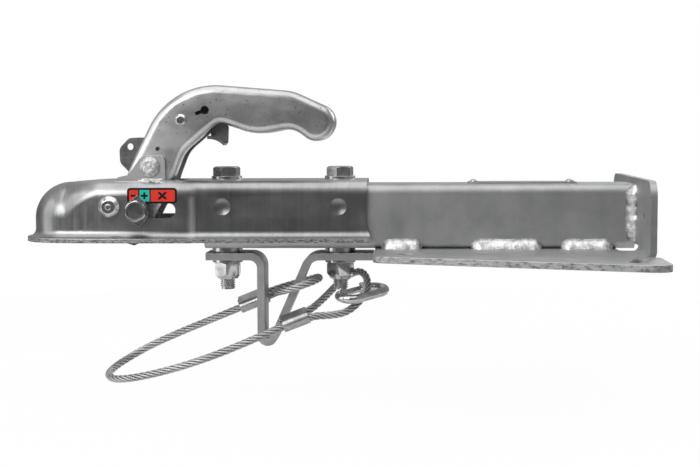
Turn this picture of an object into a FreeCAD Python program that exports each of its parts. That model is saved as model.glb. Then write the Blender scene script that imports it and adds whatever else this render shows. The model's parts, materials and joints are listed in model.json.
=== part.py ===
import FreeCAD, Part
import Sketcher
import math
import os

from FreeCAD import Placement, Rotation, Vector

# Trailer ball coupler on a drawbar tube, with its mounting plate and its safety rope.
# X runs along the drawbar with the nose at -X, Y across it and Z up. The origin is the
# midpoint of the two front mounting holes, on the underside of the mounting plate.

os.makedirs("parts", exist_ok=True)
doc = FreeCAD.newDocument("trailer_ball_coupler")

# Driving sizes in millimetres and degrees
SIZES = [
    # ball socket and pressed shell
    ("ball_diameter", 50.0),
    ("ball_clearance", 0.7),
    ("sheet_gauge", 3.5),
    ("coupler_height", 48.1),
    ("ball_height", 17.1),
    ("flange_width", 6.5),
    ("flange_bend", 6.3),
    ("front_half_width", 32.0),
    ("crown_flat", 0.5),
    ("crown_front", 12.5),
    ("crown_rear", 10.5),
    ("shoulder_reach", 27.5),
    ("step_lead", 25.0),
    ("step_length", 6.0),
    ("tube_fit", 0.5),
    ("coupler_overhang", 24.5),
    ("end_trim", 3.0),
    ("dimple_diameter", 13.0),
    ("dimple_depth", 1.0),
    ("dimple_drop", 20.5),
    # drawbar tube and through bolts
    ("tube_size", 50.0),
    ("tube_wall", 4.0),
    ("tube_corner", 7.0),
    ("tube_lead", 15.0),
    ("bolt_diameter", 12.0),
    ("bolt_hole", 13.0),
    ("bolt_length", 90.0),
    ("bolt_pitch", 90.0),
    ("bolt_setback", 53.0),
    ("bolt_flats", 19.0),
    ("bolt_head", 7.5),
    ("washer_diameter", 24.0),
    ("washer_gauge", 2.5),
    ("spacer_gauge", 4.0),
    ("nut_height", 13.0),
    ("ring_diameter", 14.0),
    ("ring_height", 3.6),
    # mounting plate with its upturned tab
    ("plate_gauge", 5.0),
    ("plate_lead", 24.8),
    ("plate_front_half", 87.5),
    ("plate_flare", 19.5),
    ("plate_corner", 12.0),
    ("tab_setback", 175.0),
    ("wing_setback", 182.0),
    ("tab_half_width", 94.0),
    ("tab_height", 59.5),
    ("tab_corner", 12.0),
    ("tab_bend", 4.0),
    ("tab_relief", 2.5),
    ("front_hole", 13.0),
    ("front_hole_spread", 142.0),
    ("rear_slot_width", 13.0),
    ("rear_slot_length", 32.0),
    ("rear_slot_setback", 163.6),
    ("rear_slot_spread", 244.0),
    ("tab_hole", 6.6),
    ("tab_hole_spread", 132.0),
    ("tab_hole_height", 31.6),
    ("drain_length", 14.0),
    ("drain_width", 80.0),
    ("drain_rise", 4.0),
    ("weld_leg", 7.0),
    ("weld_rise", 8.3),
    ("end_weld_leg", 8.0),
    # rope bracket
    ("strip_gauge", 6.0),
    ("strip_width", 30.0),
    ("strip_lead", 15.6),
    ("strip_bend", 9.0),
    ("rear_bend", 12.0),
    ("fold_bend", 5.0),
    ("leg_offset", 28.0),
    ("leg_slope", 65.96),
    ("leg_top", 66.5),
    ("strip_end_gap", 1.8),
    # release handle
    ("pivot_offset", 57.3),
    ("socket_reach", 66.6),
    ("pivot_height", 10.3),
    ("pivot_diameter", 10.0),
    ("ear_gap", 38.0),
    ("ear_gauge", 3.5),
    ("ear_rise", 8.4),
    ("handle_play", 0.5),
    ("handle_gauge", 3.0),
    ("handle_round", 6.5),
    ("handle_slot", 19.0),
    ("fork_play", 0.7),
    ("handle_travel", 38.0),
    ("running_fit", 0.05),
    # lock slide, jaw and spring
    ("pin_diameter", 10.0),
    ("pin_lead", 8.5),
    ("pin_drop", 33.5),
    ("slide_travel", 23.5),
    ("slide_width", 29.0),
    ("slot_play", 0.8),
    ("jaw_pin_diameter", 10.0),
    ("jaw_pin_offset", 36.3),
    ("jaw_pin_rise", 10.8),
    ("jaw_width", 42.0),
    ("cup_clearance", 0.4),
    ("rod_diameter", 7.0),
    ("rod_drop", 11.3),
    ("rod_hold", 6.0),
    ("seat_gauge", 3.0),
    ("seat_lead", 20.0),
    ("spring_wire", 1.8),
    ("spring_diameter", 13.0),
    # safety catch in the handle
    ("catch_gauge", 4.0),
    ("catch_pin_x", 24.1),
    ("catch_pin_z", 36.5),
    ("catch_pin_diameter", 6.0),
    ("lock_hole", 5.4),
    ("catch_wire", 1.4),
    # type plate
    ("type_plate_length", 84.0),
    ("type_plate_width", 28.0),
    ("type_plate_gauge", 1.0),
    ("type_plate_setback", 48.0),
    # safety rope with its ferrules and snap hook
    ("rope_diameter", 6.0),
    ("ferrule_wall", 2.0),
    ("hook_length", 48.0),
    ("hook_width", 26.0),
    ("hook_wire", 7.0),
    ("hook_bend", 9.4),
    ("gate_wire", 5.0),
]

sheet = doc.addObject("Spreadsheet::Sheet", "sizes")
for row, (alias, amount) in enumerate(SIZES, start=1):
    sheet.set(f"A{row}", alias)
    sheet.set(f"B{row}", str(amount))
    sheet.setAlias(f"B{row}", alias)
doc.recompute()


def value(expression):
    """A number worked out from an expression on the sheet."""
    result = sheet.evalExpression(expression)
    return float(getattr(result, "Value", result))


def mm(alias):
    """One size read from the sheet."""
    return value(f"sizes.{alias}")


# Levels and stations, as expressions on the sheet
TUBE_TOP = "(sizes.plate_gauge + sizes.tube_size)"
CROWN = "(sizes.plate_gauge + sizes.tube_size + sizes.sheet_gauge)"
FLANGE_FLOOR = f"({CROWN} - sizes.coupler_height)"
BALL_LEVEL = f"({FLANGE_FLOOR} + sizes.ball_height)"
REAR_BOLT = "(-sizes.bolt_setback)"
FRONT_BOLT = "(-sizes.bolt_setback - sizes.bolt_pitch)"
HANDLE_PIVOT = f"({FRONT_BOLT} - sizes.pivot_offset)"
BALL_STATION = f"({HANDLE_PIVOT} - sizes.socket_reach)"
PIVOT_LEVEL = f"({CROWN} + sizes.pivot_height)"
PIN_STATION = f"({HANDLE_PIVOT} - sizes.pin_lead)"
PIN_LEVEL = f"({PIVOT_LEVEL} - sizes.pin_drop)"
ROD_LEVEL = f"({PIN_LEVEL} - sizes.rod_drop)"
JAW_STATION = f"({BALL_STATION} + sizes.jaw_pin_offset)"
JAW_LEVEL = f"({BALL_LEVEL} + sizes.jaw_pin_rise)"
BOLT_SEAT = f"({CROWN} + sizes.washer_gauge)"
STRIP_TOP = "(sizes.plate_gauge - sizes.spacer_gauge)"
STRIP_FLOOR = f"({STRIP_TOP} - sizes.strip_gauge)"
TUBE_FRONT = f"({FRONT_BOLT} - sizes.tube_lead)"
SEAT_STATION = f"({FRONT_BOLT} - sizes.seat_lead)"
CATCH_STATION = f"({HANDLE_PIVOT} + sizes.catch_pin_x)"
CATCH_LEVEL = f"({PIVOT_LEVEL} + sizes.catch_pin_z)"
HANDLE_WIDTH = "(sizes.ear_gap - 2 * sizes.handle_play)"

crown = value(CROWN)
ball_x = value(BALL_STATION)
ball_z = value(BALL_LEVEL)
pivot_x = value(HANDLE_PIVOT)
pivot_z = value(PIVOT_LEVEL)
pin_x = value(PIN_STATION)
pin_z = value(PIN_LEVEL)
rod_z = value(ROD_LEVEL)
handle_width = value(HANDLE_WIDTH)
bolt_stations = (value(FRONT_BOLT), value(REAR_BOLT))


# Sketching and feature helpers

def body_named(name):
    """A new body whose label is the node's name."""
    body = doc.addObject("PartDesign::Body", name)
    body.Label = name
    return body


def sketch_on(body, role, name, offset=None):
    """A sketch on one of the body's origin planes, moved along the plane's normal."""
    sketch = body.newObject("Sketcher::SketchObject", name)
    plane = [f for f in body.Origin.OriginFeatures if f.Role == role][0]
    sketch.AttachmentSupport = [(plane, "")]
    sketch.MapMode = "FlatFace"
    if offset is not None:
        sketch.setExpression("AttachmentOffset.Base.z", offset)
    return sketch


def rounded_edges(points):
    """Lines and tangent arcs through corner points (x, y) or (x, y, radius)."""
    corners = [(Vector(p[0], p[1], 0), p[2] if len(p) > 2 else 0.0) for p in points]
    count = len(corners)
    stops = []
    for i, (corner, radius) in enumerate(corners):
        before = corners[i - 1][0]
        after = corners[(i + 1) % count][0]
        back = (before - corner).normalize()
        ahead = (after - corner).normalize()
        if radius <= 0.0:
            stops.append((corner, corner, None))
            continue
        half_angle = back.getAngle(ahead) / 2.0
        reach = radius / math.tan(half_angle)
        bisector = (back + ahead).normalize()
        centre = corner + bisector * (radius / math.sin(half_angle))
        middle = centre - bisector * radius
        stops.append((corner + back * reach, corner + ahead * reach, middle))
    edges = []
    for i, (start, end, middle) in enumerate(stops):
        if middle is not None:
            edges.append(Part.Arc(start, middle, end))
        following = stops[(i + 1) % count][0]
        if end.distanceToPoint(following) > 1e-6:
            edges.append(Part.LineSegment(end, following))
    return edges


def outline(sketch, points):
    """Draws a closed outline with rounded corners in a sketch."""
    for edge in rounded_edges(points):
        sketch.addGeometry(edge, False)


def rectangle(sketch, x_low, x_high, y_low, y_high, radius=0.0):
    """Draws a rectangle, with rounded corners where a radius is given."""
    corners = [(x_low, y_low), (x_high, y_low), (x_high, y_high), (x_low, y_high)]
    outline(sketch, [(x, y, radius) for x, y in corners])


def bound_circle(sketch, x, y, diameter):
    """Draws a circle whose centre and size follow expressions on the sheet."""
    at = Vector(value(x), value(y), 0)
    index = sketch.addGeometry(Part.Circle(at, Vector(0, 0, 1), value(diameter) / 2), False)
    size = sketch.addConstraint(Sketcher.Constraint("Diameter", index, value(diameter)))
    sketch.setExpression(f"Constraints[{size}]", diameter)
    for kind, expression in (("DistanceX", x), ("DistanceY", y)):
        amount = value(expression)
        if abs(amount) < 1e-9:
            line = -2 if kind == "DistanceX" else -1
            sketch.addConstraint(Sketcher.Constraint("PointOnObject", index, 3, line))
            continue
        place = sketch.addConstraint(Sketcher.Constraint(kind, -1, 1, index, 3, amount))
        sketch.setExpression(f"Constraints[{place}]", expression)


def pad(body, sketch, length, side="Symmetric", reverse=False):
    """Pads a sketch by an expression, both ways unless another side is given."""
    feature = body.newObject("PartDesign::Pad", sketch.Name + "_pad")
    feature.Profile = sketch
    feature.SideType = side
    feature.Reversed = reverse
    feature.setExpression("Length", length)
    doc.recompute()
    return feature


def pocket(body, sketch, length, side="Symmetric", reverse=False):
    """Pockets a sketch by an expression, and checks that it removed something."""
    before = body.Shape.Volume
    feature = body.newObject("PartDesign::Pocket", sketch.Name + "_pocket")
    feature.Profile = sketch
    feature.SideType = side
    feature.Reversed = reverse
    feature.setExpression("Length", length)
    doc.recompute()
    if body.Shape.Volume >= before - 0.01:
        raise RuntimeError(f"{feature.Name} removed nothing")
    return feature


def revolve(body, sketch, axis="V_Axis", angle=360.0, cut=False):
    """Turns a sketch about one of its own axes."""
    kind = "PartDesign::Groove" if cut else "PartDesign::Revolution"
    feature = body.newObject(kind, sketch.Name + "_turn")
    feature.Profile = sketch
    feature.ReferenceAxis = (sketch, [axis])
    feature.Angle = angle
    doc.recompute()
    return feature


def loft(body, sketches, ruled=False, cut=False):
    """Lofts through a row of section sketches."""
    kind = "PartDesign::SubtractiveLoft" if cut else "PartDesign::AdditiveLoft"
    feature = body.newObject(kind, sketches[0].Name + "_loft")
    feature.Profile = sketches[0]
    feature.Sections = sketches[1:]
    feature.Ruled = ruled
    doc.recompute()
    return feature


def round_edges(body, name, chosen, radius):
    """Fillets the edges that the test picks out of the body's present shape."""
    base = body.Tip
    names = [f"Edge{i}" for i, e in enumerate(base.Shape.Edges, start=1) if chosen(e)]
    feature = body.newObject("PartDesign::Fillet", name)
    feature.Base = (base, names)
    feature.setExpression("Radius", radius)
    doc.recompute()
    return feature


def placed(thing, x="0", y="0", z="0"):
    """Moves a finished object to a place given by expressions."""
    thing.setExpression("Placement.Base.x", x)
    thing.setExpression("Placement.Base.y", y)
    thing.setExpression("Placement.Base.z", z)
    doc.recompute()
    return thing


def solid_feature(name, shape):
    """An object that holds a shape made by the geometry kernel's own functions."""
    thing = doc.addObject("Part::Feature", name)
    thing.Label = name
    thing.Shape = shape
    return thing


def copies_of(name, source, shifts, turns=None):
    """Identical pieces in one node, each turned about Z and moved from the source's place."""
    solids = []
    for number, shift in enumerate(shifts):
        piece = source.Shape.copy()
        if turns:
            piece.rotate(Vector(0, 0, 0), Vector(0, 0, 1), turns[number])
        piece.translate(shift)
        solids.extend(piece.Solids)
    return solid_feature(name, Part.makeCompound(solids))


def midpoint(edge):
    """The point halfway along an edge."""
    return edge.valueAt((edge.FirstParameter + edge.LastParameter) / 2)


# Coupler body: a pressed shell with a rounded nose, an outward flange and two ears

def shell_section(half_width, crown_radius, top, inner):
    """Corner points of the shell's outer or inner cross-section, from +Y to -Y."""
    gauge = mm("sheet_gauge")
    bend = mm("flange_bend")
    floor = value(FLANGE_FLOOR)
    if inner:
        wall = half_width - gauge
        lip = half_width + bend + 1.0
        side = [
            (lip, floor - 1.0, 0.0),
            (lip, floor, 0.0),
            (wall, floor, bend + gauge),
            (wall, top - gauge, crown_radius - gauge),
        ]
    else:
        lip = half_width + mm("flange_width")
        side = [
            (lip, floor, 0.0),
            (lip, floor + gauge, 0.0),
            (half_width, floor + gauge, bend),
            (half_width, top, crown_radius),
        ]
    return side


def whole_section(side):
    """Both halves of a cross-section that is the same on both sides."""
    return side + [(-y, z, radius) for y, z, radius in reversed(side)]


def build_coupler_body():
    body = body_named("coupler_body")
    gauge = mm("sheet_gauge")
    nose_radius = mm("ball_diameter") / 2 + mm("ball_clearance") + gauge
    dome_top = ball_z + nose_radius
    dome_crown = nose_radius - mm("crown_flat")
    wide = mm("front_half_width")
    narrow = mm("tube_size") / 2 + mm("tube_fit") + gauge
    shoulder = ball_x + mm("shoulder_reach")
    step = bolt_stations[0] - mm("step_lead")
    rear = bolt_stations[1] + mm("coupler_overhang")

    # The dome widens into the shoulder in a smooth loft of three sections
    blend = 0.45
    halfway = ball_x + blend * (shoulder - ball_x)
    middle_crown = dome_crown + 0.62 * (mm("crown_front") - dome_crown)
    front = [
        (ball_x, nose_radius, dome_crown, dome_top),
        (halfway, nose_radius + 0.55 * (wide - nose_radius), middle_crown,
         dome_top + 0.55 * (crown - dome_top)),
        (shoulder, wide, mm("crown_front"), crown),
    ]
    back = [
        (shoulder, wide, mm("crown_front"), crown),
        (step, wide, mm("crown_front"), crown),
        (step + mm("step_length"), narrow, mm("crown_rear"), crown),
        (rear, narrow, mm("crown_rear"), crown),
    ]
    for inner in (False, True):
        word = "inner" if inner else "outer"
        for part_name, stations, ruled in (("front", front, False), ("back", back, True)):
            sections = []
            for number, (x, half_width, radius, top) in enumerate(stations):
                past_end = 1.0 if inner and x == rear else 0.0
                name = f"{word}_{part_name}_{number}"
                sketch = sketch_on(body, "YZ_Plane", name, str(x + past_end))
                side = shell_section(half_width, radius, top, inner)
                outline(sketch, whole_section(side))
                sections.append(sketch)
            loft(body, sections, ruled, inner)
        nose = sketch_on(body, "YZ_Plane", f"{word}_nose", BALL_STATION)
        side = shell_section(nose_radius, dome_crown, dome_top, inner)
        floor_point = (0.0, side[0][1], 0.0)
        top_point = (0.0, side[-1][1], 0.0)
        outline(nose, [floor_point] + side + [top_point])
        revolve(body, nose, "V_Axis", 180.0, inner)

    # The rear edge stands a little further forward above the flange
    trim = sketch_on(body, "XZ_Plane", "rear_edge")
    ledge = value(FLANGE_FLOOR) + gauge + 2.0
    front_of_trim = rear - mm("end_trim")
    outline(trim, [
        (rear + 2.0, ledge),
        (rear, ledge, 0.5),
        (front_of_trim, ledge + 7.5, 3.0),
        (front_of_trim + 0.6, crown + 1.0),
        (rear + 2.0, crown + 1.0),
    ])
    pocket(body, trim, "4 * sizes.front_half_width")
    return body


def add_ears(body):
    """Two upright ears for the handle's pivot, with a low rim in front of them."""
    outer = "(sizes.ear_gap + 2 * sizes.ear_gauge)"
    top = pivot_z + mm("ear_rise")
    root = crown - mm("sheet_gauge") / 2
    sketch = sketch_on(body, "XZ_Plane", "ear_profile")
    outline(sketch, [
        (pivot_x - 29.0, root),
        (pivot_x + 11.9, root),
        (pivot_x + 11.9, top, 4.0),
        (pivot_x - 6.6, top, 6.0),
        (pivot_x - 17.0, crown + 4.1, 6.0),
        (pivot_x - 25.0, crown + 2.6, 4.0),
    ])
    pad(body, sketch, outer)
    between = sketch_on(body, "XZ_Plane", "between_ears")
    rectangle(between, pivot_x - 24.5, pivot_x + 30.0, crown, top + 1.0)
    pocket(body, between, "sizes.ear_gap")
    rim = sketch_on(body, "XY_Plane", "rim_gap", CROWN)
    rectangle(rim, pivot_x - 40.0, pivot_x - 20.0, -3.5, 3.5)
    pocket(body, rim, "10", "One side", True)

    opening = sketch_on(body, "XY_Plane", "top_opening", f"{CROWN} + 1")
    half = mm("ear_gap") / 2
    rectangle(opening, pivot_x - 21.7, pivot_x + 25.0, -half, half, 3.0)
    pocket(body, opening, "2 * sizes.sheet_gauge", "One side")
    notch = sketch_on(body, "XY_Plane", "catch_notch", f"{CROWN} + 1")
    rectangle(notch, pivot_x - 33.0, pivot_x - 18.0, -3.5, 3.5, 1.5)
    pocket(body, notch, "2 * sizes.sheet_gauge", "One side")

    pivot = sketch_on(body, "XZ_Plane", "ear_bore")
    bound_circle(pivot, HANDLE_PIVOT, PIVOT_LEVEL, "sizes.pivot_diameter + 2 * sizes.running_fit")
    pocket(body, pivot, "3 * sizes.ear_gap")


def add_shell_holes(body):
    """Bolt holes, the jaw pin's bores, the long side slots and the side dimples."""
    bolts = sketch_on(body, "XY_Plane", "bolt_holes", f"{CROWN} + 1")
    for station in (FRONT_BOLT, REAR_BOLT):
        bound_circle(bolts, station, "0", "sizes.bolt_hole")
    pocket(body, bolts, "2 * sizes.sheet_gauge", "One side")
    jaw = sketch_on(body, "XZ_Plane", "jaw_bore")
    bound_circle(jaw, JAW_STATION, JAW_LEVEL, "sizes.jaw_pin_diameter + 2 * sizes.running_fit")
    pocket(body, jaw, "4 * sizes.front_half_width")
    half = mm("pin_diameter") / 2 + mm("slot_play")
    slots = sketch_on(body, "XZ_Plane", "side_slots")
    start = pin_x - half - 0.5
    end = pin_x + mm("slide_travel") + half + 0.5
    rectangle(slots, start, end, pin_z - half, pin_z + half, 0.95 * half)
    pocket(body, slots, "4 * sizes.front_half_width")
    narrow = "(sizes.tube_size / 2 + sizes.tube_fit + sizes.sheet_gauge - sizes.dimple_depth)"
    for word, sign in (("near", 1), ("far", -1)):
        dimples = sketch_on(body, "XZ_Plane", f"{word}_dimples", f"{sign} * {narrow}")
        for station in (FRONT_BOLT, REAR_BOLT):
            bound_circle(dimples, station, f"{CROWN} - sizes.dimple_drop", "sizes.dimple_diameter")
        pocket(body, dimples, "2 * sizes.dimple_depth", "One side", sign > 0)


coupler = build_coupler_body()
add_ears(coupler)
add_shell_holes(coupler)


# Drawbar tube: rounded square tube with two pairs of bolt holes

def build_drawbar_tube():
    body = body_named("drawbar_tube")
    section = sketch_on(body, "YZ_Plane", "tube_section", TUBE_FRONT)
    half = mm("tube_size") / 2
    wall = mm("tube_wall")
    floor = mm("plate_gauge")
    top = value(TUBE_TOP)
    rectangle(section, -half, half, floor, top, mm("tube_corner"))
    inside = half - wall
    rectangle(section, -inside, inside, floor + wall, top - wall, mm("tube_corner") - wall)
    pad(body, section, f"sizes.tab_setback - {TUBE_FRONT}", "One side")
    holes = sketch_on(body, "XY_Plane", "tube_bolt_holes")
    for station in (FRONT_BOLT, REAR_BOLT):
        bound_circle(holes, station, "0", "sizes.bolt_hole")
    pocket(body, holes, "4 * sizes.tube_size")
    return body


tube = build_drawbar_tube()


# Mounting plate: a flared plate with wings and an upturned tab at the tube's end

def slot_outline(sketch, x, y, length, width, angle):
    """Draws a slot with round ends, its long way turned by an angle in degrees."""
    along = Vector(math.cos(math.radians(angle)), math.sin(math.radians(angle)), 0)
    across = Vector(-along.y, along.x, 0) * (width / 2)
    reach = along * ((length - width) / 2)
    centre = Vector(x, y, 0)
    tip = along * (width / 2)
    ends = (centre + reach, centre - reach)
    sketch.addGeometry(Part.LineSegment(ends[1] + across, ends[0] + across), False)
    sketch.addGeometry(Part.Arc(ends[0] + across, ends[0] + tip, ends[0] - across), False)
    sketch.addGeometry(Part.LineSegment(ends[0] - across, ends[1] - across), False)
    sketch.addGeometry(Part.Arc(ends[1] - across, ends[1] - tip, ends[1] + across), False)


def build_mounting_plate():
    body = body_named("mounting_plate")
    gauge = mm("plate_gauge")
    front = -mm("plate_lead")
    tab_rear = mm("tab_setback") + gauge
    rear = mm("wing_setback")
    front_half = mm("plate_front_half")
    rear_half = front_half + (rear - front) * math.tan(math.radians(mm("plate_flare")))
    bend_start = mm("tab_setback") - mm("tab_bend")
    notch = mm("tab_half_width") + mm("tab_relief")
    corner = mm("plate_corner")
    flat = sketch_on(body, "XY_Plane", "plate_outline")
    outline(flat, [
        (front, -front_half, corner),
        (rear, -rear_half, corner),
        (rear, -notch, 2.0),
        (bend_start - 4.0, -notch, 1.0),
        (bend_start - 4.0, notch, 1.0),
        (rear, notch, 2.0),
        (rear, rear_half, corner),
        (front, front_half, corner),
    ])
    pad(body, flat, "sizes.plate_gauge", "One side")
    bend = mm("tab_bend")
    profile = sketch_on(body, "XZ_Plane", "tab_profile")
    outline(profile, [
        (bend_start - 20.0, 0.0),
        (tab_rear, 0.0, bend + gauge),
        (tab_rear, mm("tab_height")),
        (tab_rear - gauge, mm("tab_height")),
        (tab_rear - gauge, gauge, bend),
        (bend_start - 20.0, gauge),
    ])
    pad(body, profile, "2 * sizes.tab_half_width")
    corner_test = lambda e: (
        abs(e.Length - gauge) < 0.01
        and abs(midpoint(e).z - mm("tab_height")) < 0.01
        and abs(abs(midpoint(e).y) - mm("tab_half_width")) < 0.01
    )
    round_edges(body, "tab_corners", corner_test, "sizes.tab_corner")

    holes = sketch_on(body, "XY_Plane", "front_holes")
    bound_circle(holes, "0", "sizes.front_hole_spread / 2", "sizes.front_hole")
    bound_circle(holes, "0", "-sizes.front_hole_spread / 2", "sizes.front_hole")
    pocket(body, holes, "4 * sizes.plate_gauge")
    slots = sketch_on(body, "XY_Plane", "rear_slots")
    for side in (-1, 1):
        slot_outline(
            slots, mm("rear_slot_setback"), side * mm("rear_slot_spread") / 2,
            mm("rear_slot_length"), mm("rear_slot_width"), side * (90.0 + mm("plate_flare")),
        )
    pocket(body, slots, "4 * sizes.plate_gauge")
    tab_holes = sketch_on(body, "YZ_Plane", "tab_holes", "sizes.tab_setback - 1")
    for side in ("", "-"):
        bound_circle(tab_holes, f"{side}sizes.tab_hole_spread / 2", "sizes.tab_hole_height", "sizes.tab_hole")
    pocket(body, tab_holes, "2 * sizes.plate_gauge", "One side", True)

    # The drain opening under the tube runs through the bend and a little up the tab
    drain = sketch_on(body, "XY_Plane", "drain_opening", "sizes.plate_gauge + sizes.drain_rise")
    half = mm("drain_width") / 2
    rectangle(drain, mm("tab_setback") - mm("drain_length"), rear + 20.0, -half, half, 4.0)
    pocket(body, drain, "3 * sizes.plate_gauge", "One side")
    return body


plate = build_mounting_plate()


# Welds: fillet beads between the tube, the plate and the tab

def bead_bottom(x_start, x_end):
    """A bead in the corner between the tube's +Y side and the plate."""
    leg = mm("weld_leg")
    rise = mm("weld_rise")
    half = mm("tube_size") / 2
    corner = mm("tube_corner")
    floor = mm("plate_gauge")
    bend_y = half - corner
    bend_z = floor + corner
    low = math.radians(-60.0)
    side = math.radians(-30.0)
    start = Vector(x_start, bend_y + corner * math.cos(low), bend_z + corner * math.sin(low))
    halfway = Vector(x_start, bend_y + corner * math.cos(side), bend_z + corner * math.sin(side))
    foot = Vector(x_start, half, bend_z)
    top = Vector(x_start, half, floor + rise)
    toe = Vector(x_start, half + leg, floor)
    bulge = Vector(x_start, half + 0.68 * leg, floor + 0.66 * rise)
    root = Vector(x_start, start.y, floor)
    edges = [
        Part.Arc(start, halfway, foot).toShape(),
        Part.LineSegment(foot, top).toShape(),
        Part.Arc(top, bulge, toe).toShape(),
        Part.LineSegment(toe, root).toShape(),
        Part.LineSegment(root, start).toShape(),
    ]
    return Part.Face(Part.Wire(edges)).extrude(Vector(x_end - x_start, 0, 0))


def bead_end(z_start, turn):
    """An upright bead between the tube's +Y side and the tab, led on round the top corner."""
    leg = mm("end_weld_leg")
    half = mm("tube_size") / 2
    corner = mm("tube_corner")
    face = mm("tab_setback")
    bend_z = value(TUBE_TOP) - corner
    inner = Vector(face, half, bend_z)
    on_tab = Vector(face, half + leg, bend_z)
    on_tube = Vector(face - leg, half, bend_z)
    bulge = Vector(face - 0.62 * leg, half + 0.62 * leg, bend_z)
    edges = [
        Part.LineSegment(inner, on_tab).toShape(),
        Part.Arc(on_tab, bulge, on_tube).toShape(),
        Part.LineSegment(on_tube, inner).toShape(),
    ]
    section = Part.Face(Part.Wire(edges))
    upright = section.extrude(Vector(0, 0, z_start - bend_z))
    around = section.revolve(Vector(face, half - corner, bend_z), Vector(1, 0, 0), turn)
    return upright.fuse(around).removeSplitter()


def both_sides(shapes):
    """The shapes and their mirror images across the drawbar's middle."""
    mirrored = [s.mirror(Vector(0, 0, 0), Vector(0, 1, 0)) for s in shapes]
    return Part.makeCompound(shapes + mirrored)


plate_front = -mm("plate_lead")
drain_start = mm("tab_setback") - mm("drain_length")
bead_spans = [
    (plate_front + 4.5, plate_front + 37.0),
    (plate_front + 74.0, plate_front + 129.0),
    (drain_start - 43.0, drain_start - 3.0),
]
bottom_welds = solid_feature("bottom_welds", both_sides([bead_bottom(a, b) for a, b in bead_spans]))
end_weld_start = mm("plate_gauge") + 5.0
end_welds = solid_feature("end_welds", both_sides([bead_end(end_weld_start, 42.0)]))


# Rope bracket: flat strip under both bolts, folded down into a narrow V

def strip_outline(path, gauge):
    """Corner points of a strip of even gauge along a path of (x, z, middle radius)."""
    sides = ([], [])
    count = len(path)
    for i, (x, z, radius) in enumerate(path):
        here = Vector(x, z, 0)
        back = here - Vector(*path[i - 1][:2], 0) if i > 0 else None
        ahead = Vector(*path[i + 1][:2], 0) - here if i < count - 1 else None
        back = (back or ahead).normalize()
        ahead = (ahead or back).normalize()
        normal_back = Vector(-back.y, back.x, 0)
        normal_ahead = Vector(-ahead.y, ahead.x, 0)
        miter = (normal_back + normal_ahead).normalize()
        reach = gauge / 2 / miter.dot(normal_back)
        turn_left = back.x * ahead.y - back.y * ahead.x > 0
        for side, sign in ((0, 1), (1, -1)):
            inside = turn_left == (sign > 0)
            side_radius = radius - gauge / 2 if inside else radius + gauge / 2
            point = here + miter * (sign * reach)
            sides[side].append((point.x, point.y, side_radius if radius > 0 else 0.0))
    return sides[0] + list(reversed(sides[1]))


def build_rope_bracket():
    body = body_named("rope_bracket")
    gauge = mm("strip_gauge")
    level = value(STRIP_TOP) - gauge / 2
    start = bolt_stations[0] - mm("strip_lead")
    end = -mm("plate_lead") - mm("strip_end_gap")
    upright = bolt_stations[0] + mm("leg_offset")
    slope = math.radians(mm("leg_slope"))
    slant_top = bolt_stations[0] + mm("leg_top")
    fold_depth = (slant_top - upright) * math.tan(slope)
    profile = sketch_on(body, "XZ_Plane", "strip_profile")
    path = [
        (start, level, 0.0),
        (upright, level, mm("strip_bend")),
        (upright, level - fold_depth, mm("fold_bend")),
        (slant_top, level, mm("rear_bend")),
        (end, level, 0.0),
    ]
    outline(profile, strip_outline(path, gauge))
    pad(body, profile, "sizes.strip_width")
    holes = sketch_on(body, "XY_Plane", "strip_bolt_holes")
    for station in (FRONT_BOLT, REAR_BOLT):
        bound_circle(holes, station, "0", "sizes.bolt_hole")
    pocket(body, holes, "6 * sizes.strip_gauge")
    return body


bracket = build_rope_bracket()


# Bolts, washers and lock nuts on the two bolt axes

def ring(name, outer, inner, height, z):
    """A flat ring about the Z axis, made as a cylinder less its bore."""
    disc = doc.addObject("Part::Cylinder", name + "_disc")
    disc.setExpression("Radius", f"({outer}) / 2")
    disc.setExpression("Height", height)
    bore = doc.addObject("Part::Cylinder", name + "_bore")
    bore.setExpression("Radius", f"({inner}) / 2")
    bore.setExpression("Height", f"{height} + 2")
    bore.setExpression("Placement.Base.z", "-1")
    cut = doc.addObject("Part::Cut", name + "_ring")
    cut.Base = disc
    cut.Tool = bore
    return placed(cut, z=z)


def hexagon(name, flats, height):
    """A hexagonal prism with both ends' corners turned down by a cone."""
    prism = doc.addObject("Part::Prism", name + "_prism")
    prism.Polygon = 6
    prism.setExpression("Circumradius", f"({flats}) / sqrt(3)")
    prism.setExpression("Height", height)
    cone = doc.addObject("Part::Cone", name + "_cone")
    cone.setExpression("Radius1", f"({flats}) * 0.475 + ({height}) * 1.7")
    cone.setExpression("Radius2", f"({flats}) * 0.475")
    cone.setExpression("Height", height)
    common = doc.addObject("Part::Common", name + "_hexagon")
    common.Base = prism
    common.Tool = cone
    doc.recompute()
    return common


def build_bolt():
    """A hexagon bolt standing head up, with the underside of its head at z = 0."""
    head = hexagon("bolt", "sizes.bolt_flats", "sizes.bolt_head")
    shank = doc.addObject("Part::Cylinder", "bolt_shank")
    shank.setExpression("Radius", "sizes.bolt_diameter / 2")
    shank.setExpression("Height", "sizes.bolt_length")
    shank.setExpression("Placement.Base.z", "-sizes.bolt_length")
    end = doc.addObject("Part::Chamfer", "bolt_end")
    end.Base = shank
    doc.recompute()
    low = [i for i, e in enumerate(shank.Shape.Edges, 1) if e.BoundBox.ZMax < -mm("bolt_length") + 0.1]
    end.Edges = [(low[0], 1.0, 1.0)]
    bolt = doc.addObject("Part::Fuse", "bolt_pattern")
    bolt.Base = head
    bolt.Tool = end
    return placed(bolt, z=BOLT_SEAT)


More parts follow.
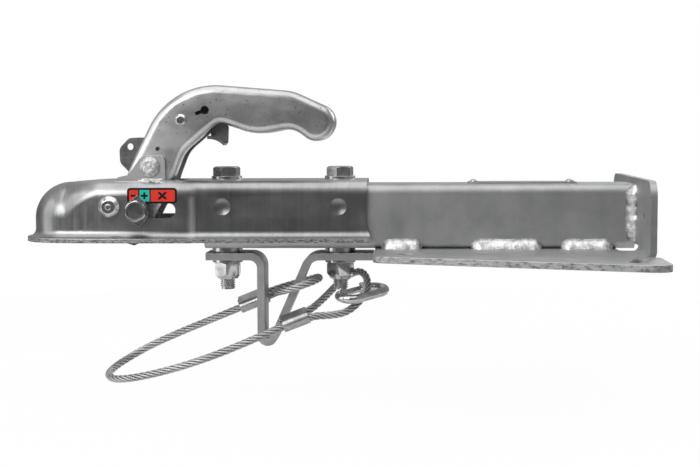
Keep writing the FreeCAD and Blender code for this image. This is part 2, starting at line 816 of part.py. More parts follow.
def build_nut():
    """A lock nut whose lower end is turned to a cone, hollow for a plastic ring."""
    body = body_named("nut_pattern")
    blank = sketch_on(body, "XY_Plane", "nut_hexagon")
    radius = mm("bolt_flats") / math.sqrt(3)
    corners = [math.radians(60.0 * i) for i in range(6)]
    outline(blank, [(radius * math.cos(a), radius * math.sin(a)) for a in corners])
    pad(body, blank, "sizes.nut_height", "One side", True)
    height = mm("nut_height")
    edge = radius + 1.0
    rim = mm("ring_diameter") / 2 + 1.2
    face = 0.475 * mm("bolt_flats")
    cone = sketch_on(body, "XZ_Plane", "nut_cone")
    outline(cone, [
        (rim, -height - 1.0),
        (rim, -height),
        (edge, -height + 1.6 * (edge - rim)),
        (edge, -height - 1.0),
    ])
    revolve(body, cone, "V_Axis", 360.0, True)
    chamfer = sketch_on(body, "XZ_Plane", "nut_chamfer")
    outline(chamfer, [(face, 1.0), (face, 0.0), (edge, 0.55 * (face - edge)), (edge, 1.0)])
    revolve(body, chamfer, "V_Axis", 360.0, True)
    bore = sketch_on(body, "XY_Plane", "nut_bore")
    bound_circle(bore, "0", "0", "sizes.bolt_diameter + 2 * sizes.running_fit")
    pocket(body, bore, "3 * sizes.nut_height")
    seat = sketch_on(body, "XY_Plane", "nut_ring_seat", "-sizes.nut_height")
    bound_circle(seat, "0", "0", "sizes.ring_diameter")
    pocket(body, seat, "sizes.ring_height", "One side", True)
    return placed(body, z=f"{STRIP_FLOOR} - sizes.washer_gauge")


def bolt_pair(name, source, turns=(0.0, 0.0)):
    """The same piece at both bolt axes, each turned about its axis by an angle in degrees."""
    return copies_of(name, source, [Vector(x, 0, 0) for x in bolt_stations], turns)


NUT_SEAT = f"({STRIP_FLOOR} - sizes.washer_gauge)"
through_bolts = bolt_pair("through_bolts", build_bolt(), (19.0, 19.0))
top_washers = bolt_pair("top_washers", ring(
    "top_washer", "sizes.washer_diameter", "sizes.bolt_hole", "sizes.washer_gauge", CROWN))
spacer_washers = bolt_pair("spacer_washers", ring(
    "spacer_washer", "sizes.washer_diameter", "sizes.bolt_hole", "sizes.spacer_gauge", STRIP_TOP))
lower_washers = bolt_pair("lower_washers", ring(
    "lower_washer", "sizes.washer_diameter", "sizes.bolt_hole", "sizes.washer_gauge", NUT_SEAT))
lock_nuts = bolt_pair("lock_nuts", build_nut(), (30.0, 15.0))
nylon_rings = bolt_pair("nylon_rings", ring(
    "nylon_ring", "sizes.ring_diameter", "sizes.bolt_diameter + 2 * sizes.running_fit",
    "(sizes.ring_height - 0.4)", f"{NUT_SEAT} - sizes.nut_height + 0.4"))


# Pins: turned on the Y axis and moved to their places

def turned_on_y(name, points, x, z):
    """A body turned about the Y axis from (radius, y, corner radius) points."""
    body = body_named(name)
    profile = sketch_on(body, "XY_Plane", name + "_profile")
    outline(profile, points)
    revolve(body, profile, "V_Axis")
    return placed(body, x=x, z=z)


def rivet_points(shank, grip, head, dome, nub=0.0):
    """Half profile of a pin with a domed head on both ends."""
    side = [
        (head / 2, grip / 2, 0.0),
        (head / 2, grip / 2 + 0.35 * dome, 0.3 * dome),
        (0.62 * head / 2, grip / 2 + dome, 0.3 * dome),
    ]
    if nub > 0.0:
        side += [(nub, grip / 2 + dome, 0.0), (nub, grip / 2 + dome + 0.8, 0.5)]
    tip = side[-1][1]
    upper = [(shank / 2, grip / 2, 0.0)] + side + [(0.0, tip, 0.0)]
    lower = [(r, -y, c) for r, y, c in reversed(upper)]
    return upper + lower


ear_grip = mm("ear_gap") + 2 * mm("ear_gauge")
handle_pivot_pin = turned_on_y(
    "handle_pivot_pin", rivet_points(mm("pivot_diameter"), ear_grip, 15.5, 4.0),
    HANDLE_PIVOT, PIVOT_LEVEL)
shell_grip = 2 * mm("front_half_width")
jaw_pivot_pin = turned_on_y(
    "jaw_pivot_pin", rivet_points(mm("jaw_pin_diameter"), shell_grip, 17.0, 4.6, 2.2),
    JAW_STATION, JAW_LEVEL)


# Lock slide: block, cross bolt with pointer, guide rod, spring and spring seat

block_back = pin_x + 9.8
block_front = pin_x - 9.5


def build_slide_block():
    body = body_named("slide_block")
    profile = sketch_on(body, "XZ_Plane", "block_profile")
    low = rod_z - 5.5
    outline(profile, [
        (block_front, low + 2.5, 0.5),
        (block_front + 2.5, low, 0.5),
        (block_back, low, 1.0),
        (block_back, rod_z + 7.5, 2.0),
        (pin_x + 8.0, pin_z + 2.0, 2.0),
        (pin_x + 5.0, pin_z + 8.0, 2.0),
        (block_front, pin_z + 8.0, 4.0),
    ])
    pad(body, profile, "sizes.slide_width")
    bore = sketch_on(body, "XZ_Plane", "block_bore")
    bound_circle(bore, PIN_STATION, PIN_LEVEL, "sizes.pin_diameter + 2 * sizes.running_fit")
    pocket(body, bore, "2 * sizes.slide_width")
    guide = sketch_on(body, "YZ_Plane", "rod_bore", str(pin_x))
    bound_circle(guide, "0", ROD_LEVEL, "sizes.rod_diameter + 2 * sizes.running_fit")
    pocket(body, guide, "2 * sizes.slide_width")
    return body


slide_block = build_slide_block()
seat_face = value(SEAT_STATION)
rod_front = block_back - mm("rod_hold")
rod_end = seat_face + mm("seat_gauge") + 2.0
guide_rod = doc.addObject("Part::Cylinder", "guide_rod")
guide_rod.Label = "guide_rod"
guide_rod.setExpression("Radius", "sizes.rod_diameter / 2")
guide_rod.Height = rod_end - rod_front
guide_rod.Placement = Placement(Vector(rod_front, 0, rod_z), Rotation(Vector(0, 1, 0), 90))


def build_spring_seat():
    """A cross plate between the shell's side walls that holds the guide rod."""
    body = body_named("spring_seat")
    half = mm("tube_size") / 2 + mm("tube_fit")
    section = sketch_on(body, "YZ_Plane", "seat_outline", SEAT_STATION)
    rectangle(section, -half, half, rod_z - 9.0, rod_z + 15.0, 2.0)
    pad(body, section, "sizes.seat_gauge", "One side")
    hole = sketch_on(body, "YZ_Plane", "seat_hole", SEAT_STATION)
    bound_circle(hole, "0", ROD_LEVEL, "sizes.rod_diameter + 2 * sizes.running_fit")
    pocket(body, hole, "4 * sizes.seat_gauge")
    return body


spring_seat = build_spring_seat()


def coil(name, wire, diameter, length, turns, place):
    """A round wire wound along its own Z axis from 0 to the given length."""
    pitch = (length - wire) / turns
    helix = Part.makeHelix(pitch, length - wire, diameter / 2)
    start = Part.Wire(Part.Circle(Vector(diameter / 2, 0, 0), Vector(0, 1, 0), wire / 2).toShape())
    sweep = Part.Wire(helix).makePipeShell([start], True, True)
    sweep.translate(Vector(0, 0, wire / 2))
    thing = solid_feature(name, sweep)
    thing.Placement = place
    return thing


spring_play = 0.4
spring_room = seat_face - block_back - 2 * spring_play
closing_spring = coil(
    "closing_spring", mm("spring_wire"), mm("spring_diameter"), spring_room, 5.0,
    Placement(Vector(block_back + spring_play, 0, rod_z), Rotation(Vector(0, 1, 0), 90)))


# Cross bolt: its head and pointer show on the -Y side, its nut on the +Y side
side_face = mm("front_half_width")
pointer_gap = 0.4
pointer_gauge = 1.5
pointer_face = side_face + pointer_gap + pointer_gauge
bolt_head_face = pointer_face + 6.0
nut_face = side_face + pointer_gap + 1.5


def build_indicator_bolt():
    half = mm("pin_diameter") / 2
    body = turned_on_y("indicator_bolt", [
        (0.0, -bolt_head_face + 0.8),
        (6.2, -bolt_head_face + 0.8, 0.4),
        (6.7, -bolt_head_face, 0.3),
        (8.6, -bolt_head_face, 1.5),
        (8.6, -pointer_face, 0.8),
        (half, -pointer_face),
        (half, nut_face + 9.0, 0.8),
        (0.0, nut_face + 9.0),
    ], PIN_STATION, PIN_LEVEL)
    flats = sketch_on(body, "XZ_Plane", "head_flats", f"{pointer_face}")
    radius = 7.6 / math.cos(math.radians(30))
    outer = [(13.0, 13.0), (-13.0, 13.0), (-13.0, -13.0), (13.0, -13.0)]
    outline(flats, outer)
    turns = [math.radians(30.0 + 60.0 * i) for i in range(6)]
    outline(flats, [(radius * math.cos(a), radius * math.sin(a), 3.0) for a in turns])
    pocket(body, flats, "7", "One side", True)
    return body


indicator_bolt = build_indicator_bolt()


def build_pointer_plate():
    body = body_named("pointer_plate")
    leaf = sketch_on(body, "XZ_Plane", "pointer_leaf", f"{side_face + pointer_gap}")
    outline(leaf, [
        (pin_x + 0.2, pin_z + 12.0, 0.4),
        (pin_x - 9.4, pin_z + 3.6, 6.0),
        (pin_x - 7.0, pin_z - 7.4, 6.0),
        (pin_x + 2.4, pin_z - 12.6, 0.4),
        (pin_x + 9.2, pin_z - 3.6, 6.0),
        (pin_x + 7.4, pin_z + 6.2, 6.0),
    ])
    pad(body, leaf, f"{pointer_gauge}", "One side")
    hole = sketch_on(body, "XZ_Plane", "pointer_hole")
    bound_circle(hole, PIN_STATION, PIN_LEVEL, "sizes.pin_diameter + 2 * sizes.running_fit")
    pocket(body, hole, "6 * sizes.front_half_width")
    return body


pointer_plate = build_pointer_plate()
indicator_washer = turned_on_y("indicator_washer", [
    (mm("pin_diameter") / 2 + mm("running_fit"), side_face + pointer_gap),
    (10.0, side_face + pointer_gap),
    (10.0, nut_face),
    (mm("pin_diameter") / 2 + mm("running_fit"), nut_face),
], PIN_STATION, PIN_LEVEL)


def build_indicator_nut():
    body = body_named("indicator_nut")
    blank = sketch_on(body, "XZ_Plane", "indicator_nut_hexagon", f"-{nut_face}")
    radius = 8.0 / math.cos(math.radians(30))
    turns = [math.radians(60.0 * i) for i in range(6)]
    outline(blank, [(radius * math.cos(a), radius * math.sin(a)) for a in turns])
    pad(body, blank, "8", "One side", True)
    bore = sketch_on(body, "XZ_Plane", "indicator_nut_bore")
    bound_circle(bore, "0", "0", "sizes.pin_diameter + 2 * sizes.running_fit")
    pocket(body, bore, "6 * sizes.front_half_width")
    return placed(body, x=PIN_STATION, z=PIN_LEVEL)


indicator_nut = build_indicator_nut()


# Ball jaw: swings on its pin, its cup closes behind and under the ball

def build_ball_jaw():
    body = body_named("ball_jaw")
    jaw_x = value(JAW_STATION)
    jaw_z = value(JAW_LEVEL)
    floor = value(FLANGE_FLOOR)
    profile = sketch_on(body, "XZ_Plane", "jaw_profile")
    outline(profile, [
        (jaw_x - 22.0, jaw_z - 4.0, 2.0),
        (jaw_x - 22.0, floor + 1.2, 1.5),
        (jaw_x + 3.0, floor + 1.0, 3.0),
        (jaw_x + 18.6, floor - 3.6, 1.5),
        (jaw_x + 18.0, floor + 3.5, 2.5),
        (block_front - 0.3, floor + 6.4, 3.0),
        (block_front - 0.3, jaw_z - 8.0, 4.0),
        (jaw_x + 8.6, jaw_z + 8.4, 7.5),
        (jaw_x - 8.6, jaw_z + 8.4, 7.5),
        (jaw_x - 9.0, jaw_z - 2.0, 2.0),
    ])
    pad(body, profile, "sizes.jaw_width")
    hub = sketch_on(body, "XZ_Plane", "jaw_hub")
    bound_circle(hub, JAW_STATION, JAW_LEVEL, "sizes.jaw_pin_diameter + 6")
    pad(body, hub, "2 * (sizes.front_half_width - sizes.sheet_gauge) - 1")
    bore = sketch_on(body, "XZ_Plane", "jaw_pin_bore")
    bound_circle(bore, JAW_STATION, JAW_LEVEL, "sizes.jaw_pin_diameter + 2 * sizes.running_fit")
    pocket(body, bore, "4 * sizes.front_half_width")
    cup_radius = mm("ball_diameter") / 2 + mm("cup_clearance")
    cup = sketch_on(body, "YZ_Plane", "jaw_cup", BALL_STATION)
    top = Vector(0, ball_z + cup_radius, 0)
    cup.addGeometry(Part.LineSegment(Vector(0, ball_z - cup_radius, 0), top), False)
    cup.addGeometry(Part.Arc(top, Vector(cup_radius, ball_z, 0), Vector(0, ball_z - cup_radius, 0)), False)
    revolve(body, cup, "V_Axis", 360.0, True)
    # The heel is slotted for the guide rod, which it swings up to
    heel = sketch_on(body, "XZ_Plane", "heel_slot")
    rectangle(heel, jaw_x + 12.0, jaw_x + 24.0, floor - 6.0, floor + 12.0)
    pocket(body, heel, "sizes.rod_diameter + 2")
    for word, shift in (("near", 1), ("far", -1)):
        pocket_sketch = sketch_on(
            body, "XZ_Plane", f"jaw_side_{word}", f"{shift} * (sizes.jaw_width / 2 - 5)")
        rectangle(pocket_sketch, jaw_x - 8.0, jaw_x + 8.0, floor + 4.0, jaw_z - 10.0, 3.0)
        pocket(body, pocket_sketch, "10", "One side", shift > 0)
        # Room for the prongs of the handle's foot
        relief = sketch_on(
            body, "XZ_Plane", f"prong_room_{word}",
            f"{shift} * ({HANDLE_WIDTH} / 2 - sizes.handle_gauge - 0.6)")
        rectangle(relief, jaw_x + 8.0, jaw_x + 24.0, floor + 9.5, jaw_z + 12.0)
        pocket(body, relief, "10", "One side", shift > 0)
    return body


ball_jaw = build_ball_jaw()


# Handle: a pressed hollow shell, open along its underside, forked at its foot

# Side view about the pivot, clockwise from the front of the fork: (x, z, radius)
HANDLE_SHAPE = [
    (-18.6, -3.0, 0.0), (15.8, 66.7, 58.8), (111.0, 58.7, 30.0), (150.2, 40.7, 14.0),
    (133.4, 12.6, 14.0), (111.8, 29.8, 18.0), (82.7, 24.5, 42.0), (53.5, 34.5, 10.0),
    (26.3, 11.5, 25.0), (18.4, -9.4, 0.0),
]


def inset_outline(points, inset):
    """A closed clockwise outline of (x, z, radius) corners moved inwards."""
    moved = []
    count = len(points)
    for i, (x, z, radius) in enumerate(points):
        here = Vector(x, z, 0)
        back = (here - Vector(*points[i - 1][:2], 0)).normalize()
        ahead = (Vector(*points[(i + 1) % count][:2], 0) - here).normalize()
        normal_back = Vector(back.y, -back.x, 0)
        normal_ahead = Vector(ahead.y, -ahead.x, 0)
        miter = (normal_back + normal_ahead).normalize()
        corner = here + miter * (inset / miter.dot(normal_back))
        right_turn = back.x * ahead.y - back.y * ahead.x < 0
        inner_radius = radius - inset if right_turn else radius + inset
        moved.append((corner.x, corner.y, inner_radius if radius > 0 else 0.0))
    return moved


def fork_points():
    """Foot of the handle: two prongs on the pin, as corner points about the pivot."""
    reach = math.hypot(mm("pin_lead"), mm("pin_drop"))
    along = Vector(-mm("pin_lead"), -mm("pin_drop"), 0).normalize()
    across = Vector(-along.y, along.x, 0)
    half = mm("pin_diameter") / 2 + mm("fork_play")
    tip = reach + 6.4
    return along, across, half, tip


def handle_form(name, inset, width):
    """The handle's outer form, or with an inset the space inside it."""
    along, across, half, tip = fork_points()
    rear_tip = along * tip + across * (half + 5.0)
    front_tip = along * tip - across * (half + 5.0)
    foot = [(rear_tip.x, rear_tip.y, 0.0), (front_tip.x, front_tip.y, 0.0)]
    body = body_named(name)
    sketch = sketch_on(body, "XZ_Plane", name + "_profile")
    outline(sketch, inset_outline(HANDLE_SHAPE + foot, inset))
    pad(body, sketch, width)
    return body


def rounded_form(body, radius, width):
    """Rounds the long side edges of a handle form above its pivot."""
    def chosen(edge):
        where = midpoint(edge)
        on_side = abs(abs(where.y) - width / 2) < 0.01
        ends = [v.Point.z for v in edge.Vertexes]
        return on_side and min(ends) > -10.5 and max(ends) > 0.0
    return round_edges(body, body.Name + "_round", chosen, radius)


handle_outer = handle_form("handle_outer", 0.0, HANDLE_WIDTH)
rounded_form(handle_outer, "sizes.handle_round", handle_width)
handle_core = handle_form(
    "handle_core", mm("handle_gauge"), f"{HANDLE_WIDTH} - 2 * sizes.handle_gauge")
rounded_form(
    handle_core, "sizes.handle_round - sizes.handle_gauge",
    handle_width - 2 * mm("handle_gauge"))


def build_handle_cuts():
    """Everything that is cut through the handle's shell, as one compound."""
    width = handle_width
    along, across, half, tip = fork_points()
    cuts = []

    def prism(points, half_depth):
        edges = [e.toShape() for e in rounded_edges(points)]
        face = Part.Face(Part.Wire(edges))
        face.translate(Vector(0, 0, -half_depth))
        block = face.extrude(Vector(0, 0, 2 * half_depth))
        block.rotate(Vector(0, 0, 0), Vector(1, 0, 0), 90)
        return block

    def cross_bore(x, z, diameter):
        return Part.makeCylinder(diameter / 2, 3 * width, Vector(x, -1.5 * width, z), Vector(0, 1, 0))

    cuts.append(cross_bore(0, 0, mm("pivot_diameter") + 2 * mm("running_fit")))
    cuts.append(cross_bore(mm("catch_pin_x"), mm("catch_pin_z"), mm("catch_pin_diameter") + 0.1))
    # the open underside, a slot between the two turned-in edges
    cuts.append(prism([
        (6.0, -12.0), (10.0, 8.0), (22.0, 26.0), (38.0, 42.0), (56.0, 48.0), (98.0, 44.0),
        (112.0, 36.0, 6.0), (116.0, 10.0), (60.0, 5.0), (40.0, -12.0),
    ], mm("handle_slot") / 2))
    # below the pivot only the two prongs are left
    inside = width / 2 - mm("handle_gauge")
    cuts.append(prism([(-40.0, -11.5), (40.0, -11.5), (40.0, -60.0), (-40.0, -60.0)], inside))
    # the slit in front for the safety catch
    cuts.append(prism([(-30.0, -12.0), (-6.0, -12.0), (5.5, 36.0), (-12.0, 41.0), (-30.0, 20.0)], 3.2))
    # the fork on the cross bolt, open at its foot
    top = math.hypot(mm("pin_lead"), mm("pin_drop")) - mm("pin_diameter") / 2 - 1.8
    fork = [along * top + across * half, along * (tip + 5) + across * half,
            along * (tip + 5) - across * half, along * top - across * half]
    rounding = (0.96 * half, 0.0, 0.0, 0.96 * half)
    cuts.append(prism([(p.x, p.y, r) for p, r in zip(fork, rounding)], width))
    # keyhole and small hole in the near and far cheeks
    keyhole = Vector(43.0, 44.0, 0)
    tail = Vector(35.6, 41.2, 0)
    cuts.append(cross_bore(keyhole.x, keyhole.y, 6.6))
    run = (tail - keyhole).normalize()
    side = Vector(-run.y, run.x, 0) * 1.4
    cuts.append(prism([
        (keyhole.x + side.x, keyhole.y + side.y), (tail.x + side.x, tail.y + side.y),
        (tail.x - side.x, tail.y - side.y), (keyhole.x - side.x, keyhole.y - side.y),
    ], width))
    cuts.append(cross_bore(5.6, 14.2, 3.4))
    return cuts


handle_cuts = solid_feature("handle_cuts", Part.makeCompound(build_handle_cuts()))
hollow = doc.addObject("Part::Cut", "handle_hollow")
hollow.Base = handle_outer
hollow.Tool = handle_core
doc.recompute()
handle_shell = doc.addObject("Part::Cut", "handle_shell")
handle_shell.Label = "handle_shell"
handle_shell.Base = hollow
handle_shell.Tool = handle_cuts
placed(handle_shell, x=HANDLE_PIVOT, z=PIVOT_LEVEL)


# Safety catch: a plate inside the handle with a nose in front and a trigger behind

catch_pin = turned_on_y(
    "catch_pin", rivet_points(mm("catch_pin_diameter"), handle_width, 9.4, 2.4),
    CATCH_STATION, CATCH_LEVEL)


def build_catch_plate():
    body = body_named("catch_plate")
    profile = sketch_on(body, "XZ_Plane", "catch_profile")
    outline(profile, [
        (-12.4, 22.9, 3.0),
        (-20.0, 22.6, 5.0),
        (-28.0, 14.5, 7.0),
        (-27.6, 3.0, 6.0),
        (-20.0, -5.0, 1.2),
        (-15.8, -0.2, 2.0),
        (-10.8, 14.8, 6.0),
        (2.4, 24.0, 6.0),
        (20.0, 31.0, 6.0),
        (38.0, 29.5, 4.0),
        (45.2, 27.0, 1.0),
        (45.4, 21.6, 1.0),
        (58.6, 17.6, 1.0),
        (59.2, 31.0, 3.0),
        (55.0, 37.5, 4.0),
        (36.0, 44.5, 6.0),
        (20.0, 44.5, 6.0),
        (6.0, 37.0, 6.0),
        (-5.0, 22.8, 4.0),
    ])
    pad(body, profile, "sizes.catch_gauge")
    hub = sketch_on(body, "XZ_Plane", "catch_hub")
    bound_circle(hub, "sizes.catch_pin_x", "sizes.catch_pin_z", "sizes.catch_pin_diameter + 5")
    pad(body, hub, f"{HANDLE_WIDTH} - 2 * sizes.handle_gauge - 0.8")
    lip = sketch_on(body, "XZ_Plane", "trigger_lip")
    edges = [
        Part.Arc(Vector(43.5, 24.0, 0), Vector(51.6, 22.8, 0), Vector(57.6, 18.5, 0)),
        Part.LineSegment(Vector(57.6, 18.5, 0), Vector(56.0, 16.4, 0)),
        Part.Arc(Vector(56.0, 16.4, 0), Vector(50.4, 20.3, 0), Vector(43.1, 21.4, 0)),
        Part.LineSegment(Vector(43.1, 21.4, 0), Vector(43.5, 24.0, 0)),
    ]
    for edge in edges:
        lip.addGeometry(edge, False)
    pad(body, lip, "17")
    holes = sketch_on(body, "XZ_Plane", "catch_holes")
    bound_circle(holes, "sizes.catch_pin_x", "sizes.catch_pin_z", "sizes.catch_pin_diameter + 0.1")
    bound_circle(holes, "-19.4", "15.6", "sizes.lock_hole")
    pocket(body, holes, f"2 * {HANDLE_WIDTH}")
    return placed(body, x=HANDLE_PIVOT, z=PIVOT_LEVEL)


catch_plate = build_catch_plate()
hub_radius = (mm("catch_pin_diameter") + 5) / 2
catch_spring = coil(
    "catch_spring", mm("catch_wire"), 2 * hub_radius + mm("catch_wire") + 0.6, 9.0, 5.0,
    Placement(Vector(value(CATCH_STATION), -3.4, value(CATCH_LEVEL)), Rotation(Vector(1, 0, 0), 90)))


# Type plate: a bare sheet on the tube's top, held by two blind rivets

def build_type_plate():
    body = body_named("type_plate")
    start = mm("type_plate_setback")
    half = mm("type_plate_width") / 2
    sheet_outline = sketch_on(body, "XY_Plane", "type_plate_outline", TUBE_TOP)
    rectangle(sheet_outline, start, start + mm("type_plate_length"), -half, half, 2.0)
    pad(body, sheet_outline, "sizes.type_plate_gauge", "One side")
    return body


type_plate = build_type_plate()
rivet_head = turned_on_y(
    "rivet_pattern",
    [(0.0, 0.0), (3.3, 0.0), (3.2, 0.9, 0.4), (1.6, 2.0, 0.6), (0.0, 2.0)], "0", "0")
rivet_head.Placement = Placement(Vector(0, 0, 0), Rotation(Vector(1, 0, 0), 90))
doc.recompute()
rivet_level = value(TUBE_TOP) + mm("type_plate_gauge")
rivet_ends = (mm("type_plate_setback") + 4.5, mm("type_plate_setback") + mm("type_plate_length") - 4.5)
plate_rivets = copies_of("plate_rivets", rivet_head, [Vector(x, 0, rivet_level) for x in rivet_ends])


# Safety rope: straight runs and tangent arcs through points chosen along the rope

ROPE_POINTS = [
    (-138.0, 28.6, -44.2), (-113.0, 28.4, -34.4), (-95.0, 28.6, -28.6), (-82.5, 24.0, -25.0),
    (-74.5, 13.5, -21.6), (-70.4, 0.0, -19.6), (-68.6, -14.5, -19.2), (-77.0, -24.5, -22.0),
    (-91.0, -26.5, -26.4), (-102.6, -18.5, -29.8), (-104.2, -3.0, -31.4), (-104.6, 12.0, -33.2),
    (-112.5, 21.8, -37.4), (-137.0, 21.8, -47.4), (-160.0, 26.5, -57.2), (-188.0, 33.0, -69.1),
    (-213.0, 35.5, -80.5), (-232.5, 29.5, -90.5), (-241.9, 12.5, -96.0), (-241.3, -9.0, -98.0),
    (-230.0, -26.5, -98.1), (-209.0, -35.0, -94.5), (-182.0, -38.0, -87.7), (-155.0, -38.6, -78.9),
    (-127.0, -37.2, -67.9), (-98.0, -34.0, -55.3), (-73.5, -31.8, -46.5), (-57.9, -28.5, -46.5),
    (-46.8, -22.5, -44.8), (-37.8, -14.5, -38.3), (-31.9, -7.3, -29.5), (-31.3, 0.5, -21.3),
    (-36.2, 8.5, -15.6), (-44.1, 14.6, -17.6), (-52.3, 16.5, -23.7), (-58.6, 11.5, -29.1),
    (-63.9, 1.0, -34.3), (-69.9, -11.0, -39.3), (-77.0, -22.0, -44.2), (-98.5, -27.2, -52.6),
]


def rope_path(points):
    """The rope's centreline as one wire, and the radius at each point it turns at."""
    here = [Vector(*p) for p in points]
    edges = []
    radii = []
    last = here[0]
    for before, corner, after in zip(here, here[1:], here[2:]):
        back = (before - corner).normalize()
        ahead = (after - corner).normalize()
        turn = math.pi - back.getAngle(ahead)
        shorter = min(before.distanceToPoint(corner), after.distanceToPoint(corner))
        reach = 0.45 * shorter
        radius = reach / math.tan(turn / 2)
        bisector = (back + ahead).normalize()
        centre = corner + bisector * math.hypot(radius, reach)
        start = corner + back * reach
        end = corner + ahead * reach
        edges.append(Part.LineSegment(last, start).toShape())
        edges.append(Part.Arc(start, centre - bisector * radius, end).toShape())
        radii.append(radius)
        last = end
    edges.append(Part.LineSegment(last, here[-1]).toShape())
    return Part.Wire(edges), radii


def build_rope():
    wire, radii = rope_path(ROPE_POINTS)
    radius = mm("rope_diameter") / 2
    start = Vector(*ROPE_POINTS[0])
    heading = (Vector(*ROPE_POINTS[1]) - start).normalize()
    section = Part.Wire(Part.Circle(start, heading, radius).toShape())
    tube_shape = wire.makePipeShell([section], True, False)
    expected = math.pi * radius ** 2 * wire.Length
    print("rope length", round(wire.Length, 1), "volume share", round(tube_shape.Volume / expected, 4))
    print("rope radii", [round(r, 1) for r in radii])
    return solid_feature("safety_rope", tube_shape)


safety_rope = build_rope()


def ferrule(name, main_ends, tail_ends):
    """An oval pressed sleeve around two rope strands that lie side by side."""
    main = [Vector(*p) for p in main_ends]
    tail = [Vector(*p) for p in tail_ends]
    middle = [(a + b) * 0.5 for a, b in zip(main, tail)]
    run = (middle[1] - middle[0]).normalize()
    spread = main[0] - tail[0]
    spread = spread - run * spread.dot(run)
    gap = spread.Length
    across = spread.normalize()
    third = run.cross(across)
    radius = mm("rope_diameter") / 2 + mm("ferrule_wall")
    half = gap / 2
    frame = FreeCAD.Matrix(
        across.x, third.x, run.x, middle[0].x,
        across.y, third.y, run.y, middle[0].y,
        across.z, third.z, run.z, middle[0].z,
        0, 0, 0, 1)
    edges = [
        Part.LineSegment(Vector(-half, radius, 0), Vector(half, radius, 0)).toShape(),
        Part.Arc(Vector(half, radius, 0), Vector(half + radius, 0, 0), Vector(half, -radius, 0)).toShape(),
        Part.LineSegment(Vector(half, -radius, 0), Vector(-half, -radius, 0)).toShape(),
        Part.Arc(Vector(-half, -radius, 0), Vector(-half - radius, 0, 0), Vector(-half, radius, 0)).toShape(),
    ]
    length = (middle[1] - middle[0]).Length
    sleeve = Part.Face(Part.Wire(edges)).extrude(Vector(0, 0, length))
    sleeve = sleeve.makeFillet(0.8, [e for e in sleeve.Edges if abs(e.BoundBox.ZLength) < 0.01])
    sleeve.Placement = Placement(frame)
    sleeve = sleeve.cut(safety_rope.Shape)
    return solid_feature(name, sleeve.Solids[0])


rear_ferrule = ferrule(
    "rear_ferrule",
    ((-136.5, 21.8, -47.2), (-113.6, 21.8, -37.9)), ((-136.5, 28.6, -43.6), (-113.6, 28.4, -34.6)))
front_ferrule = ferrule(
    "front_ferrule",
    ((-97.0, -33.9, -54.9), (-74.5, -31.9, -46.9)), ((-97.0, -26.9, -52.0), (-79.5, -22.6, -45.2)))


# Snap hook: a round-wire ring with a sprung gate along one side
HOOK_CENTRE = Vector(-35.5, -8.4, -31.3)
HOOK_TURN = Rotation(41.55, -7.33, 6.8)
HOOK_PLACE = Placement(HOOK_CENTRE, HOOK_TURN)
gate_side = (mm("hook_width") - mm("hook_wire")) / 2
hinge_along = 10.6
catch_along = -9.6


def quarter(centre_x, centre_y, radius, angle):
    """A quarter turn that ends 90 degrees after the given angle, anticlockwise."""
    centre = Vector(centre_x, centre_y, 0)
    stops = [math.radians(angle + step) for step in (0, 45, 90)]
    return Part.Arc(*[centre + Vector(math.cos(a), math.sin(a), 0) * radius for a in stops])


def build_snap_hook():
    end_x = (mm("hook_length") - mm("hook_wire")) / 2
    bend = mm("hook_bend")
    x = end_x - bend
    y = gate_side - bend
    radius = mm("hook_wire") / 2
    start = Vector(catch_along - 0.4, gate_side, 0)
    runs = [
        Part.LineSegment(start, Vector(-x, gate_side, 0)),
        quarter(-x, y, bend, 90.0),
        Part.LineSegment(Vector(-end_x, y, 0), Vector(-end_x, -y, 0)),
        quarter(-x, -y, bend, 180.0),
        Part.LineSegment(Vector(-x, -gate_side, 0), Vector(x, -gate_side, 0)),
        quarter(x, -y, bend, 270.0),
        Part.LineSegment(Vector(end_x, -y, 0), Vector(end_x, y, 0)),
        quarter(x, y, bend, 0.0),
        Part.LineSegment(Vector(x, gate_side, 0), Vector(hinge_along, gate_side, 0)),
    ]
    path = Part.Wire([run.toShape() for run in runs])
    section = Part.Wire(Part.Circle(start, Vector(-1, 0, 0), radius).toShape())
    ring_shape = path.makePipeShell([section], True, False)
    eye = Part.makeCylinder(4.6, 7.4, Vector(hinge_along, gate_side, -3.7), Vector(0, 0, 1))
    slot = Part.makeBox(14.0, 14.0, 3.4, Vector(hinge_along - 11.0, gate_side - 7.0, -1.7))
    bore = Part.makeCylinder(1.05, 12.0, Vector(hinge_along, gate_side, -6.0), Vector(0, 0, 1))
    return ring_shape.fuse(eye).removeSplitter().cut(slot.fuse(bore))


snap_hook_body = solid_feature("snap_hook_body", build_snap_hook().Solids[0])
snap_hook_body.Placement = HOOK_PLACE


def build_gate():
    radius = mm("gate_wire") / 2
    start = catch_along
    length = hinge_along - 5.0 - start
    bar = Part.makeCylinder(radius, length, Vector(start, gate_side, 0), Vector(1, 0, 0))
    tongue = Part.makeBox(8.0, 5.0, 2.8, Vector(hinge_along - 6.0, gate_side - 2.5, -1.4))
    knuckle = Part.makeCylinder(2.5, 2.8, Vector(hinge_along, gate_side, -1.4), Vector(0, 0, 1))
    bore = Part.makeCylinder(1.05, 12.0, Vector(hinge_along, gate_side, -6.0), Vector(0, 0, 1))
    tongue = tongue.common(Part.makeBox(6.0, 5.0, 2.8, Vector(hinge_along - 6.0, gate_side - 2.5, -1.4)))
    return bar.fuse([tongue, knuckle]).removeSplitter().cut(bore)


snap_gate = solid_feature("snap_gate", build_gate().Solids[0])
snap_gate.Placement = HOOK_PLACE
gate_pin = solid_feature("gate_pin", Part.makeCylinder(
    1.0, 7.4, Vector(hinge_along, gate_side, -3.7), Vector(0, 0, 1)))
gate_pin.Placement = HOOK_PLACE


